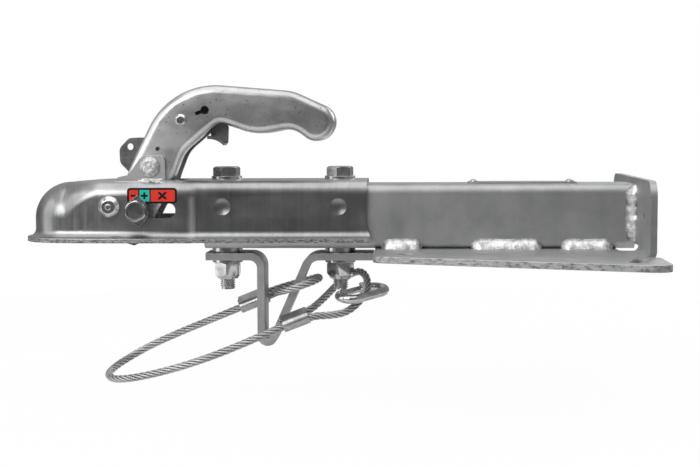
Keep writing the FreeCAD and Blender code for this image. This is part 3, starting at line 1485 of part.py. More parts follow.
# Check every object, then write one file for each node
doc.recompute()
NODES = [
    coupler, tube, plate, bottom_welds, end_welds, bracket, through_bolts, top_washers,
    spacer_washers, lower_washers, lock_nuts, nylon_rings, handle_pivot_pin, jaw_pivot_pin,
    spring_seat, closing_spring, slide_block, guide_rod, indicator_bolt, pointer_plate,
    indicator_washer, indicator_nut, ball_jaw, handle_shell, catch_pin, catch_plate,
    catch_spring, type_plate, plate_rivets, safety_rope, rear_ferrule, front_ferrule,
    snap_hook_body, snap_gate, gate_pin,
]
for thing in doc.Objects:
    if any(flag in thing.State for flag in ("Invalid", "Error")):
        raise RuntimeError(f"{thing.Name} failed: {thing.State}")
for node in NODES:
    if node.Shape.isNull() or not node.Shape.isValid():
        raise RuntimeError(f"{node.Label} has no valid shape")
    node.Shape.exportStep(f"parts/{node.Label}.step")
    print(node.Label, len(node.Shape.Solids), round(node.Shape.Volume))
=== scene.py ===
import json
import math

import bmesh
import bpy
from mathutils import Matrix, Vector


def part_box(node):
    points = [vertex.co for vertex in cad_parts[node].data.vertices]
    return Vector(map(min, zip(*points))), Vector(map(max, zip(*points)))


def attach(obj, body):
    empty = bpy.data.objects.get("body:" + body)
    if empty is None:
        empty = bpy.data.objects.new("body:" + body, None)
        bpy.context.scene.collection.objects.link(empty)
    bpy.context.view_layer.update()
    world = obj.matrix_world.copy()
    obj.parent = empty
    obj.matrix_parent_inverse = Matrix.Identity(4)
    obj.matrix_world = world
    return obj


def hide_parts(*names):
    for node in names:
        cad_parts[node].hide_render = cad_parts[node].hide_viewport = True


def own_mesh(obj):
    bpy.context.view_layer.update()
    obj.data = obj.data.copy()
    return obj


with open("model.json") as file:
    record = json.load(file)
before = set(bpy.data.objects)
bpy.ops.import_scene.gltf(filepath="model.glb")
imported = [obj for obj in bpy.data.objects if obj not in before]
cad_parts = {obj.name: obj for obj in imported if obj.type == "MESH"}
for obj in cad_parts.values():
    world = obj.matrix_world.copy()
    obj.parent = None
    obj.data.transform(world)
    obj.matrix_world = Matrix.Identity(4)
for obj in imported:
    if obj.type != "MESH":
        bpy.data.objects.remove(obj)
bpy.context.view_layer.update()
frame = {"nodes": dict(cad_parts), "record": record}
scene = bpy.context.scene
MM = 0.001

# Places in the CAD, in millimetres from the frame's origin
PLATE_GAUGE = 5.0
BOLT_STATIONS = (-143.0, -53.0)
CROWN = 58.5
WALL_SIDE = 28.0
DIMPLE_LEVEL = 38.0
FLANGE_TOP = 13.9
PANEL_START = -163.6
PIN_STATION, PIN_LEVEL = -208.8, 35.3
STRIP_PLACE = (-197.0, -32.1, 46.9)
STRIP_SIZE = (38.8, 0.25, 12.2)

# The camera's sensor in millimetres, and the photograph's width and focal length in pixels
SENSOR_WIDTH = 36.0
PHOTO_WIDTH = 700.0
FOCAL_LENGTH = 1387.0


# Camera, turned and placed as the photograph was taken

def set_camera():
    ahead = Vector((-0.04697, 0.99600, -0.07585))
    right = Vector((0.99889, 0.04711, 0.0))
    up = Vector((-0.003573, 0.075766, 0.997107))
    tilt = 0.0042
    across = (right - up * tilt).normalized()
    upward = (up + right * tilt).normalized()
    data = bpy.data.cameras.new("camera")
    data.sensor_width = SENSOR_WIDTH
    data.lens = FOCAL_LENGTH * SENSOR_WIDTH / PHOTO_WIDTH
    data.clip_start = 0.05
    data.clip_end = 20.0
    camera = bpy.data.objects.new("camera", data)
    turn = Matrix((across, upward, -ahead)).transposed().to_4x4()
    camera.matrix_world = Matrix.Translation(Vector((0.00637, -1.0956, 0.0985))) @ turn
    scene.collection.objects.link(camera)
    scene.camera = camera


set_camera()


# Shader sums as Python sums

class Wire:
    """A node's socket. Python's arithmetic on it adds Math nodes."""

    def __init__(self, tree, socket):
        self.tree = tree
        self.socket = socket

    def math(self, operation, *others):
        values = dict(enumerate((self,) + others))
        return node(self.tree, "ShaderNodeMath", {"operation": operation}, values)

    def __add__(self, other):
        return self.math("ADD", other)

    def __sub__(self, other):
        return self.math("SUBTRACT", other)

    def __rsub__(self, other):
        return node(self.tree, "ShaderNodeMath", {"operation": "SUBTRACT"}, {0: other, 1: self})

    def __mul__(self, other):
        return self.math("MULTIPLY", other)

    def __pow__(self, other):
        return self.math("POWER", other)

    def over(self, level, softness=0.05):
        """1 where the value is above a level, 0 below it, with a soft edge."""
        return node(self.tree, "ShaderNodeMapRange", {"interpolation_type": "SMOOTHSTEP"}, {
            "Value": self, "From Min": level - softness, "From Max": level + softness})

    def between(self, low, high, softness):
        """1 between two levels, 0 outside them, with soft edges."""
        return self.over(low, softness) * (1 - self.over(high, softness))


def feed(tree, socket, given):
    """Links a wire into a socket, or sets the value that the socket keeps."""
    if isinstance(given, Wire):
        tree.links.new(given.socket, socket)
    elif isinstance(given, tuple) and socket.type == "RGBA":
        socket.default_value = given + (1.0,)
    else:
        socket.default_value = given


def node(tree, kind, settings, values, output=0):
    """Adds one node: its settings first, then the values or links of its sockets."""
    made = tree.nodes.new(kind)
    for name, setting in settings.items():
        if name == "stops":
            ramp = made.color_ramp
            while len(ramp.elements) < len(setting):
                ramp.elements.new(0.5)
            for stop, (place, shade) in zip(ramp.elements, setting):
                stop.position = place
                stop.color = shade + (1.0,)
        else:
            setattr(made, name, setting)
    for name, given in values.items():
        feed(tree, made.inputs[name], given)
    return Wire(tree, made.outputs[output])


class Finish:
    """A metal or plastic finish, worked out in the object's own coordinates."""

    def __init__(self, name, metallic=1.0):
        self.material = bpy.data.materials.new(name)
        self.material.use_nodes = True
        self.tree = self.material.node_tree
        self.shader = self.tree.nodes["Principled BSDF"]
        self.shader.inputs["Metallic"].default_value = metallic
        self.place = node(self.tree, "ShaderNodeTexCoord", {}, {}, "Object")

    def add(self, kind, settings=None, values=None, output=0):
        return node(self.tree, kind, settings or {}, values or {}, output)

    def axes(self):
        """The object's X, Y and Z at a point, in millimetres."""
        return [
            self.add("ShaderNodeSeparateXYZ", {}, {0: self.place}, axis) * 1000.0
            for axis in range(3)]

    def noise(self, scale, detail=3.0, stretch=(1.0, 1.0, 1.0), roughness=0.5):
        """Noise with so many waves a metre, times the stretch of each axis."""
        where = self.add("ShaderNodeMapping", {}, {"Vector": self.place, "Scale": stretch})
        return self.add("ShaderNodeTexNoise", {}, {
            "Vector": where, "Scale": scale, "Detail": detail, "Roughness": roughness})

    def ramp(self, value, *stops):
        return self.add("ShaderNodeValToRGB", {"stops": stops}, {"Fac": value})

    def blend(self, mask, first, second):
        """The first colour where the mask is 0, the second where it is 1."""
        settings = {"data_type": "RGBA"}
        return self.add("ShaderNodeMix", settings, {"Factor": mask, 6: first, 7: second}, 2)

    def bump(self, height, distance, strength, below=None):
        values = {"Height": height, "Distance": distance, "Strength": strength}
        if below is not None:
            values["Normal"] = below
        return self.add("ShaderNodeBump", {}, values)

    def done(self, colour, rough, normal=None, **more):
        """Feeds the shader and hands over the material."""
        inputs = {"Base Color": colour, "Roughness": rough}
        if normal is not None:
            inputs["Normal"] = normal
        inputs.update({name.replace("_", " "): given for name, given in more.items()})
        for name, given in inputs.items():
            feed(self.tree, self.shader.inputs[name], given)
        return self.material


# Finishes

def galvanised_steel():
    """Dipped zinc: soft clouds, a faint bloom, fine grain, a few runs and torn plate edges."""
    f = Finish("galvanised_steel", 0.9)
    clouds = f.noise(24.0, 4.0, roughness=0.6)
    bloom = f.noise(120.0, 4.0, roughness=0.7)
    grain = f.noise(1100.0, 2.0)
    drips = f.noise(26.0, 3.0, (2.5, 2.5, 0.6))
    tone = clouds * 0.40 + bloom * 0.24 + drips * 0.28 + grain * 0.08
    colour = f.ramp(
        tone, (0.34, (0.35, 0.353, 0.357)), (0.50, (0.44, 0.443, 0.447)),
        (0.66, (0.54, 0.543, 0.547)))
    scuffs = f.noise(1.0, 4.0, (30.0, 400.0, 400.0), 0.7).over(0.68, 0.04) * 0.3
    colour = f.blend(scuffs, colour, (0.55, 0.555, 0.56))
    level = f.axes()[2]
    edge = level.between(0.25, PLATE_GAUGE - 0.25, 0.2)
    cut = f.noise(1.0, 4.0, (190.0, 190.0, 420.0), 0.65)
    colour = f.blend(edge * cut.over(0.56, 0.06) * 0.8, colour, (0.15, 0.15, 0.15))
    colour = f.blend(edge * (1 - cut.over(0.46, 0.05)), colour, (0.52, 0.52, 0.52))
    rough = tone * 0.16 + 0.40
    normal = f.bump(clouds * 0.5 + bloom * 0.3 + grain * 0.2, 0.0005, 0.5)
    normal = f.bump(edge * cut, 0.0006, 0.7, normal)
    return f.done(colour, rough, normal)


def bright_zinc():
    """Drawn sheet: upright brushing, stains, a torn lower edge, painted shade on the side walls,
    and painted highlights on the ears and at the step's fold.
    """
    f = Finish("bright_zinc")
    x, y, level = f.axes()
    side = y.math("ABSOLUTE")
    hair = f.noise(1.0, 4.0, (2200.0, 2200.0, 22.0), 0.7)
    lines = f.noise(1.0, 3.0, (900.0, 120.0, 9.0), 0.65)
    stains = f.noise(30.0, 5.0, roughness=0.68)
    wall = side.over(24.0, 2.0) * (1 - level.over(46.0, 3.0))
    behind_step = x.over(PANEL_START, 0.8)
    panel = behind_step * level.between(18.5, 47.5, 0.9)
    step_highlight = x.between(PANEL_START - 4.9, PANEL_START - 1.0, 2.2) * wall
    # Painted shade: the side walls are darkened, more towards the top ahead of the step, and evenly
    # on the panel behind it.
    side_wall_shade = wall * level.over(25.0, 17.0) * (1 - behind_step) + panel
    ear_highlight = level.over(CROWN - 1.0, 3.0)
    tone = lines * 0.22 + stains * 0.66 + hair * 0.12
    colour = f.ramp(
        tone, (0.36, (0.28, 0.281, 0.284)), (0.50, (0.36, 0.362, 0.366)),
        (0.64, (0.45, 0.453, 0.457)))
    colour = f.blend(side_wall_shade * 0.30, colour, (0.13, 0.131, 0.133))
    # Painted highlight: the ears, above the crown, are painted pale.
    colour = f.blend(ear_highlight * 0.85, colour, (0.66, 0.66, 0.665))
    # Painted highlight: a pale upright band on the wall just ahead of where the panel starts.
    colour = f.blend(step_highlight * 0.45, colour, (0.70, 0.70, 0.705))
    ear_root = (
        x.between(-209.0, -190.0, 1.0) * side.over(21.0, 1.0)
        * level.between(CROWN - 1.6, CROWN + 0.8, 0.4))
    burr = ear_root * f.noise(300.0, 2.0).over(0.46, 0.06)
    colour = f.blend(burr * 0.85, colour, (0.92, 0.92, 0.92))
    edge = 1 - level.over(FLANGE_TOP - 0.3, 0.35)
    torn = f.noise(1.0, 4.0, (330.0, 330.0, 900.0), 0.65)
    colour = f.blend(edge * torn.over(0.54, 0.08) * 0.8, colour, (0.10, 0.10, 0.10))
    colour = f.blend(edge * (1 - torn.over(0.44, 0.05)) * 0.8, colour, (0.48, 0.48, 0.48))
    specks = f.noise(420.0, 2.0).over(0.74, 0.03) * 0.5
    colour = f.blend(specks, colour, (0.08, 0.08, 0.08))
    rough = hair * 0.08 + lines * 0.08 + stains * 0.12 + 0.17
    rough = rough + edge * 0.18 + ear_highlight * 0.10 + step_highlight * 0.12
    normal = f.bump(hair * 0.5 + lines * 0.5, 0.00005, 0.4)
    normal = f.bump(edge * torn + burr, 0.0006, 0.7, normal)
    return f.done(colour, rough, normal)


def satin_zinc():
    """Pressed handle: satin, slightly wavy, with dark pits, rubbed streaks in its tone, and painted
    highlight in pale patches low on it.
    """
    f = Finish("satin_zinc")
    stains = f.noise(38.0, 5.0, roughness=0.65)
    rubbed = f.noise(1.0, 3.0, (60.0, 60.0, 160.0), 0.6)
    pits = f.noise(560.0, 3.0, roughness=0.6)
    dents = f.noise(75.0, 2.0)
    tone = stains * 0.7 + rubbed * 0.3
    colour = f.ramp(
        tone, (0.34, (0.42, 0.42, 0.423)), (0.52, (0.53, 0.53, 0.533)),
        (0.66, (0.65, 0.65, 0.653)))
    low = 1 - f.axes()[2].over(92.0, 22.0)
    # Painted highlight: pale patches on the lower handle, more of them towards the bottom.
    low_highlight_patches = low * f.noise(26.0, 3.0).over(0.46, 0.10)
    colour = f.blend(low_highlight_patches * 0.85, colour, (0.92, 0.92, 0.925))
    dark = pits.over(0.67, 0.02) * 0.85
    colour = f.blend(dark, colour, (0.04, 0.04, 0.04))
    rough = stains * 0.14 + rubbed * 0.06 + low_highlight_patches * 0.05 + dark * 0.4 + 0.22
    return f.done(colour, rough, f.bump(dents, 0.0007, 0.40))


def plated_hardware():
    """Bolts, nuts and washers: turned, lightly stained zinc."""
    f = Finish("plated_hardware")
    stains = f.noise(140.0, 4.0, roughness=0.65)
    fine = f.noise(1500.0, 2.0)
    turned = f.noise(1.0, 2.0, (300.0, 300.0, 1800.0))
    colour = f.ramp(stains, (0.34, (0.50, 0.50, 0.505)), (0.66, (0.72, 0.72, 0.725)))
    rough = stains * 0.14 + turned * 0.05 + 0.08
    return f.done(colour, rough, f.bump(fine * 0.4 + turned * 0.6, 0.00008, 0.5))


def stamped_head():
    """The indicator bolt's head: stained zinc, its face's middle darkened by painted shade inside a
    lighter rim.
    """
    f = Finish("stamped_head")
    x, y, z = f.axes()
    across = x - PIN_STATION
    up = z - PIN_LEVEL
    outward = (across * across + up * up) ** 0.5
    stains = f.noise(150.0, 4.0, roughness=0.65)
    # Painted shade: the middle of the head's near face, inside its rim, is painted nearly black.
    face = (1 - outward.over(6.9, 0.5)) * (0 - y).over(38.0, 0.5)
    colour = f.ramp(stains, (0.32, (0.34, 0.34, 0.345)), (0.68, (0.62, 0.62, 0.625)))
    colour = f.blend(face * 0.75, colour, (0.07, 0.07, 0.072))
    return f.done(colour, stains * 0.16 + face * 0.1 + 0.16, f.bump(stains, 0.0002, 0.5))


def hammered_head():
    """Riveted pin heads: pale and speckled from the hammer."""
    f = Finish("hammered_head")
    marks = f.noise(420.0, 4.0, roughness=0.7)
    stains = f.noise(120.0, 3.0)
    tone = marks * 0.7 + stains * 0.3
    colour = f.ramp(tone, (0.36, (0.30, 0.30, 0.305)), (0.56, (0.80, 0.80, 0.805)))
    return f.done(colour, stains * 0.12 + 0.24, f.bump(marks, 0.0014, 0.8))


def weld_bead():
    """Bright bead with scale between its ripples."""
    f = Finish("weld_bead", 0.95)
    lumps = f.noise(170.0, 4.0, roughness=0.6)
    fine = f.noise(900.0, 3.0)
    colour = f.ramp(
        lumps, (0.36, (0.38, 0.38, 0.385)), (0.52, (0.64, 0.64, 0.645)),
        (0.66, (0.82, 0.82, 0.825)))
    return f.done(colour, lumps * 0.16 + 0.30, f.bump(lumps * 0.8 + fine * 0.2, 0.0007, 0.5))


def dull_steel():
    """Inner pieces: plain dark steel."""
    f = Finish("dull_steel", 0.9)
    stains = f.noise(70.0, 4.0)
    specks = f.noise(800.0, 2.0)
    colour = f.ramp(stains, (0.3, (0.13, 0.13, 0.135)), (0.7, (0.27, 0.27, 0.275)))
    return f.done(colour, stains * 0.2 + 0.28, f.bump(specks, 0.0001, 0.5))


def catch_metal():
    """Sheet of the safety catch: grey plating with faint rolling marks."""
    f = Finish("catch_metal", 0.95)
    stains = f.noise(90.0, 4.0)
    rolled = f.noise(1.0, 3.0, (60.0, 900.0, 900.0))
    tone = stains * 0.7 + rolled * 0.3
    colour = f.ramp(tone, (0.34, (0.20, 0.20, 0.205)), (0.64, (0.33, 0.33, 0.335)))
    return f.done(colour, stains * 0.16 + 0.26, f.bump(rolled, 0.00008, 0.5))


def spring_steel():
    f = Finish("spring_steel")
    stains = f.noise(200.0, 2.0)
    colour = f.ramp(stains, (0.3, (0.16, 0.16, 0.165)), (0.7, (0.34, 0.34, 0.35)))
    return f.done(colour, stains * 0.1 + 0.3)


def plain_aluminium():
    """Type plate and blind rivets: fine brushing along X."""
    f = Finish("plain_aluminium", 0.9)
    lines = f.noise(1.0, 3.0, (25.0, 1400.0, 1400.0))
    stains = f.noise(40.0, 3.0)
    tone = stains * 0.5 + lines * 0.5
    colour = f.ramp(tone, (0.35, (0.42, 0.42, 0.42)), (0.65, (0.60, 0.60, 0.595)))
    return f.done(colour, lines * 0.15 + 0.28, f.bump(lines, 0.00008, 0.5))


def pressed_aluminium():
    """Ferrules: squeezed soft metal, a little uneven."""
    f = Finish("pressed_aluminium")
    stains = f.noise(170.0, 4.0)
    fine = f.noise(900.0, 3.0)
    pressed = f.noise(1.0, 3.0, (120.0, 700.0, 120.0))
    colour = f.ramp(stains, (0.3, (0.34, 0.34, 0.347)), (0.7, (0.56, 0.56, 0.567)))
    height = stains * 0.5 + fine * 0.2 + pressed * 0.3
    return f.done(colour, stains * 0.15 + 0.26, f.bump(height, 0.0004, 0.5))


def white_nylon():
    f = Finish("white_nylon", 0.0)
    speck = f.noise(400.0, 2.0)
    colour = f.ramp(speck, (0.3, (0.62, 0.62, 0.60)), (0.7, (0.74, 0.74, 0.72)))
    return f.done(colour, speck * 0.1 + 0.35)


def rope_wire():
    """Fine wires along each strand, pale on its back, with painted shade in the grooves near the
    rope's middle.

    The UV map holds metres along the strand and millimetres from the rope's middle.
    """
    f = Finish("rope_wire")
    map_place = f.add("ShaderNodeUVMap")
    along = f.add("ShaderNodeSeparateXYZ", {}, {0: map_place}, 0)
    outward = f.add("ShaderNodeSeparateXYZ", {}, {0: map_place}, 1)
    wires = ((along * 700.0 + outward * 1.5) * (2 * math.pi)).math("SINE") * 0.5 + 0.5
    stains = f.noise(45.0, 3.0)
    tone = wires * 0.04 + stains * 0.96
    colour = f.ramp(tone, (0.30, (0.40, 0.403, 0.407)), (0.66, (0.64, 0.645, 0.65)))
    # Painted shade: near the rope's middle, in the grooves between strands, the colour is nearly
    # black.
    groove_shade = 1 - outward.over(2.50, 0.30)
    colour = f.blend(groove_shade * 0.92, colour, (0.02, 0.02, 0.021))
    return f.done(colour, groove_shade * 0.2 + 0.46)


def scale_colours():
    """The strip beside the pointer: plain fields with a minus, a plus and a cross."""
    f = Finish("scale_colours", 0.0)
    x, _, z = f.axes()
    across = x - STRIP_PLACE[0]
    height = z - STRIP_PLACE[2]
    corner_radius = 2.8
    over_x, over_y = [
        (way.math("ABSOLUTE") - (size / 2 - corner_radius)).math("MAXIMUM", 0.0)
        for way, size in ((across, STRIP_SIZE[0]), (height, STRIP_SIZE[2]))]
    corner = (over_x * over_x + over_y * over_y) ** 0.5
    rim = corner.over(1.20, 0.10)
    middle = across.between(-10.0, -1.7, 0.08)
    colour = f.blend(middle, (0.80, 0.048, 0.032), (0.030, 0.56, 0.46))
    minus = (across + 14.6).between(-2.0, 2.0, 0.1) * height.between(-0.8, 0.8, 0.1)
    plus_x = across + 5.9
    bar = plus_x.between(-2.7, 2.7, 0.1) * height.between(-0.82, 0.82, 0.1)
    post = plus_x.between(-0.82, 0.82, 0.1) * height.between(-2.7, 2.7, 0.1)
    cross_x = across - 8.1
    slant = (cross_x * 0.93 - height).between(-1.25, 1.25, 0.12)
    other = (cross_x * 0.93 + height).between(-1.25, 1.25, 0.12)
    window = cross_x.between(-3.4, 3.4, 0.1) * height.between(-2.9, 2.9, 0.1)
    strokes = (minus + bar + post + (slant + other) * window).math("MINIMUM", 1.0)
    border = across.between(-10.7, -9.7, 0.08) + across.between(-2.0, -1.0, 0.08)
    ink = (strokes + border + rim).math("MINIMUM", 1.0)
    wear = f.noise(700.0, 3.0).over(0.74, 0.04)
    colour = f.blend(ink, colour, (0.012, 0.012, 0.014))
    colour = f.blend(wear * 0.25, colour, (0.35, 0.35, 0.35))
    return f.done(colour, 0.45, Specular_IOR_Level=0.15)


FINISH = {
    "galvanised": galvanised_steel(),
    "zinc_shell": bright_zinc(),
    "zinc_handle": satin_zinc(),
    "zinc_hardware": plated_hardware(),
    "weld_metal": weld_bead(),
    "catch_steel": catch_metal(),
    "inner_steel": dull_steel(),
    "spring_steel": spring_steel(),
    "plain_aluminium": plain_aluminium(),
    "ferrule_metal": pressed_aluminium(),
    "nylon": white_nylon(),
    "wire_rope": rope_wire(),
}
# Nodes that look different from the rest of their slot
OWN_FINISH = {"indicator_bolt": stamped_head(), "handle_pivot_pin": hammered_head()}
SLOT_OF = {part["node"]: part["material_slot"] for part in frame["record"]["subparts"]}
BODY_OF = {
    name: body for body, names in frame["record"]["behaviour"]["bodies"].items() for name in names
}


# Helpers for pieces

# Degrees from which an edge is sharp, and up to which two faces are one
SHARP = 35.0
FLAT = 0.6
# Metres within which two corners are one
MERGE_DISTANCE = 0.000002
# A skew direction, along which a mesh's parts are put in order
SORT_WAY = Vector((1.0, 0.6137, 0.2871))


def finished_mesh(shape, name):
    """Turns a drawn shape into a mesh, its parts in an order that every run repeats."""
    shape.verts.sort(key=lambda vert: vert.co.dot(SORT_WAY))
    shape.edges.sort(key=lambda edge: (edge.verts[0].co + edge.verts[1].co).dot(SORT_WAY))
    shape.faces.sort(key=lambda face: face.calc_center_median().dot(SORT_WAY))
    mesh = bpy.data.meshes.new(name)
    shape.to_mesh(mesh)
    shape.free()
    return mesh


def new_piece(name, mesh, body, slot, finish=None):
    """A piece at the origin that rides on a body and takes a slot's finish."""
    piece = bpy.data.objects.new(name, mesh)
    scene.collection.objects.link(piece)
    mesh.materials.clear()
    mesh.materials.append(finish or FINISH[slot])
    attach(piece, body)
    return piece


def soften(shape, sharp=SHARP):
    """Smooth shading, with hard edges where faces meet at more than so many degrees."""
    for face in shape.faces:
        face.smooth = True
    limit = math.radians(sharp)
    for edge in shape.edges:
        edge.smooth = len(edge.link_faces) == 2 and edge.calc_face_angle(0.0) < limit


def dressed(node_name, edge_width, rework):
    """A merged, edge-rounded copy of a node's mesh that stands for the node."""
    name = node_name + "_dressed"
    shape = bmesh.new()
    shape.from_mesh(frame["nodes"][node_name].data)
    bmesh.ops.remove_doubles(shape, verts=shape.verts, dist=MERGE_DISTANCE)
    bmesh.ops.dissolve_limit(
        shape, angle_limit=math.radians(FLAT), verts=shape.verts, edges=shape.edges)
    if rework:
        rework(shape)
    soften(shape)
    piece = new_piece(
        name, finished_mesh(shape, name), BODY_OF[node_name], SLOT_OF[node_name],
        OWN_FINISH.get(node_name))
    if edge_width > 0:
        bevel = piece.modifiers.new("edges", "BEVEL")
        bevel.width = edge_width * MM
        bevel.segments = 2
        bevel.limit_method = "ANGLE"
        bevel.angle_limit = math.radians(SHARP)
        bevel.harden_normals = True
    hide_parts(node_name)
    return piece


def edges_round(verts):
    """The edges at a ring's corners, each once, in an order that every run repeats."""
    return list(dict.fromkeys(edge for vert in verts for edge in vert.link_edges))


def extrude_ring(shape, edges):
    """Extrudes a ring of edges in place. Gives the new corners, edges and side faces."""
    made = bmesh.ops.extrude_edge_only(shape, edges=edges)["geom"]
    verts = [part for part in made if isinstance(part, bmesh.types.BMVert)]
    faces = [part for part in made if isinstance(part, bmesh.types.BMFace)]
    edges = [part for part in made if isinstance(part, bmesh.types.BMEdge)
             and all(vert in verts for vert in part.verts)]
    return verts, edges, faces


for plain_node in frame["nodes"].values():
    plain_node.data.materials.clear()
    plain_node.data.materials.append(FINISH[SLOT_OF[plain_node.name]])


# Safety rope: strands laid round a core along the rope's own line

ROPE_STEP = 0.0021
CORE_RADIUS = 0.0011
STRANDS = 6
STRAND_RADIUS = 0.00098
LAY_RADIUS = 0.00202
LAY_PITCH = 0.030

# The route's points, in millimetres
ROPE_POINTS = [
    (-138.0, 28.6, -44.2), (-113.0, 28.4, -34.4), (-95.0, 28.6, -28.6), (-82.5, 24.0, -25.0),
    (-74.5, 13.5, -21.6), (-70.4, 0.0, -19.6), (-68.6, -14.5, -19.2), (-77.0, -24.5, -22.0),
    (-91.0, -26.5, -26.4), (-102.6, -18.5, -29.8), (-104.2, -3.0, -31.4), (-104.6, 12.0, -33.2),
    (-112.5, 21.8, -37.4), (-137.0, 21.8, -47.4), (-160.0, 26.5, -57.2), (-188.0, 33.0, -69.1),
    (-213.0, 35.5, -80.5), (-231.2, 29.5, -90.5), (-240.0, 12.5, -96.0), (-239.4, -9.0, -98.0),
    (-228.9, -26.5, -98.1), (-209.0, -35.0, -94.5), (-182.0, -38.0, -87.7), (-155.0, -38.6, -78.9),
    (-127.0, -37.2, -67.9), (-98.0, -34.0, -55.3), (-73.5, -31.8, -46.5), (-57.9, -28.5, -46.5),
    (-46.8, -22.5, -44.8), (-37.8, -14.5, -38.3), (-31.9, -7.3, -29.5), (-31.3, 0.5, -21.3),
    (-36.2, 8.5, -15.6), (-44.1, 14.6, -17.6), (-52.3, 16.5, -23.7), (-58.6, 11.5, -29.1),
    (-63.9, 1.0, -34.3), (-69.9, -11.0, -39.3), (-77.0, -22.0, -44.2), (-98.5, -27.2, -52.6),
]


def line_through(points, step):
    """Evenly spaced points along the smooth line that the route's points draw."""
    curve = bpy.data.curves.new("rope_line", "CURVE")
    curve.dimensions = "3D"
    spline = curve.splines.new("NURBS")
    spline.points.add(len(points) - 1)
    for point, (x, y, z) in zip(spline.points, points):
        point.co = (x * MM, y * MM, z * MM, 1.0)
    spline.order_u = 3
    spline.use_endpoint_u = True
    spline.resolution_u = 24
    holder = bpy.data.objects.new("rope_line", curve)
    scene.collection.objects.link(holder)
    mesh = bpy.data.meshes.new_from_object(holder)
    line = [vertex.co.copy() for vertex in mesh.vertices]
    bpy.data.objects.remove(holder)
    bpy.data.meshes.remove(mesh)
    even = [line[0]]
    carried = 0.0
    for start, end in zip(line, line[1:]):
        run = (end - start).length
        while carried + run >= step:
            start = start + (end - start) * ((step - carried) / run)
            run = (end - start).length
            even.append(start.copy())
            carried = 0.0
        carried += run
    even.append(line[-1])
    return even


def frames_along(points):
    """Two directions square to the line at each point, carried along without twist."""
    headings = []
    for i in range(len(points)):
        headings.append((points[min(i + 1, len(points) - 1)] - points[max(i - 1, 0)]).normalized())
    side = headings[0].orthogonal().normalized()
    sides = []
    for heading in headings:
        side = (side - heading * side.dot(heading)).normalized()
        sides.append((side.copy(), heading.cross(side)))
    return sides


def sweep(shape, points, radius, sides, uv, middles):
    """Draws a round bar along points.

    Its UV map holds its length so far in metres and its distance from the rope's middle
    in millimetres.
    """
    heading = (points[1] - points[0]).normalized()
    turn = heading.to_track_quat("Z", "Y").to_matrix().to_4x4()
    place = Matrix.Translation(points[0]) @ turn
    ring = bmesh.ops.create_circle(
        shape, cap_ends=True, radius=radius, segments=sides, matrix=place)["verts"]
    edges = edges_round(ring)
    last = points[0]
    travelled = 0.0
    for i in range(1, len(points)):
        after = points[min(i + 1, len(points) - 1)]
        new_heading = (after - points[i - 1]).normalized()
        verts, edges, faces = extrude_ring(shape, edges)
        swing = heading.rotation_difference(new_heading).to_matrix().to_4x4()
        move = Matrix.Translation(points[i]) @ swing @ Matrix.Translation(-last)
        bmesh.ops.transform(shape, matrix=move, verts=verts)
        step = (points[i] - last).length
        fresh = set(verts)
        for face in faces:
            for loop in face.loops:
                new = loop.vert in fresh
                outward = (loop.vert.co - middles[i if new else i - 1]).length
                loop[uv].uv = (travelled + (step if new else 0.0), outward * 1000.0)
        travelled += step
        heading = new_heading
        last = points[i]
    bmesh.ops.contextual_create(shape, geom=edges)


def add_rope():
    """The rope piece, and the line along its middle."""
    line = line_through(ROPE_POINTS, ROPE_STEP)
    directions = frames_along(line)
    shape = bmesh.new()
    uv = shape.loops.layers.uv.new("UVMap")
    for strand in range(STRANDS):
        path = []
        travelled = 0.0
        for i, (point, (side, other)) in enumerate(zip(line, directions)):
            if i:
                travelled += (point - line[i - 1]).length
            turn = 2 * math.pi * (strand / STRANDS + travelled / LAY_PITCH)
            path.append(point + (side * math.cos(turn) + other * math.sin(turn)) * LAY_RADIUS)
        sweep(shape, path, STRAND_RADIUS, 10, uv, line)
    sweep(shape, line, CORE_RADIUS, 6, uv, line)
    bmesh.ops.recalc_face_normals(shape, faces=shape.faces)
    soften(shape, 70.0)
    mesh = finished_mesh(shape, "safety_rope_strands")
    rope = new_piece("safety_rope_strands", mesh, "chassis", "wire_rope")
    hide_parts("safety_rope")
    return rope, line


rope, rope_line = add_rope()


# Reworked forms: dished dimples, a closed far cheek, threaded bolt ends

def dish_dimples(shape):
    """Sinks the floor of each side dimple to a shallow dish."""
    floors = []
    for face in shape.faces:
        middle = face.calc_center_median()
        at_bolt = min(abs(middle.x - x * MM) for x in BOLT_STATIONS) < 1.0 * MM
        at_wall = abs(abs(middle.y) - WALL_SIDE * MM) < 0.2 * MM
        at_level = abs(middle.z - DIMPLE_LEVEL * MM) < 1.0 * MM
        if at_bolt and at_wall and at_level and abs(face.normal.y) > 0.99:
            floors.append(face)
    for face in floors:
        for sink in (0.50, 0.32, 0.12):
            bmesh.ops.inset_region(
                shape, faces=[face], thickness=1.9 * MM, depth=-sink * MM, use_even_offset=True)


def close_far_keyhole(shape):
    """Fills the keyhole in the handle's far cheek: its rim's faces go, its two holes close."""
    low = Vector((-167.5, 14.0, 107.0)) * MM
    high = Vector((-153.0, 19.0, 117.0)) * MM
    inner = []
    for face in shape.faces:
        middle = face.calc_center_median()
        inside = all(low[i] < middle[i] < high[i] for i in range(3))
        if inside and abs(face.normal.y) < 0.3:
            inner.append(face)
    bmesh.ops.delete(shape, geom=inner, context="FACES")
    rims = [edge for edge in shape.edges if edge.is_boundary]
    bmesh.ops.holes_fill(shape, edges=rims)


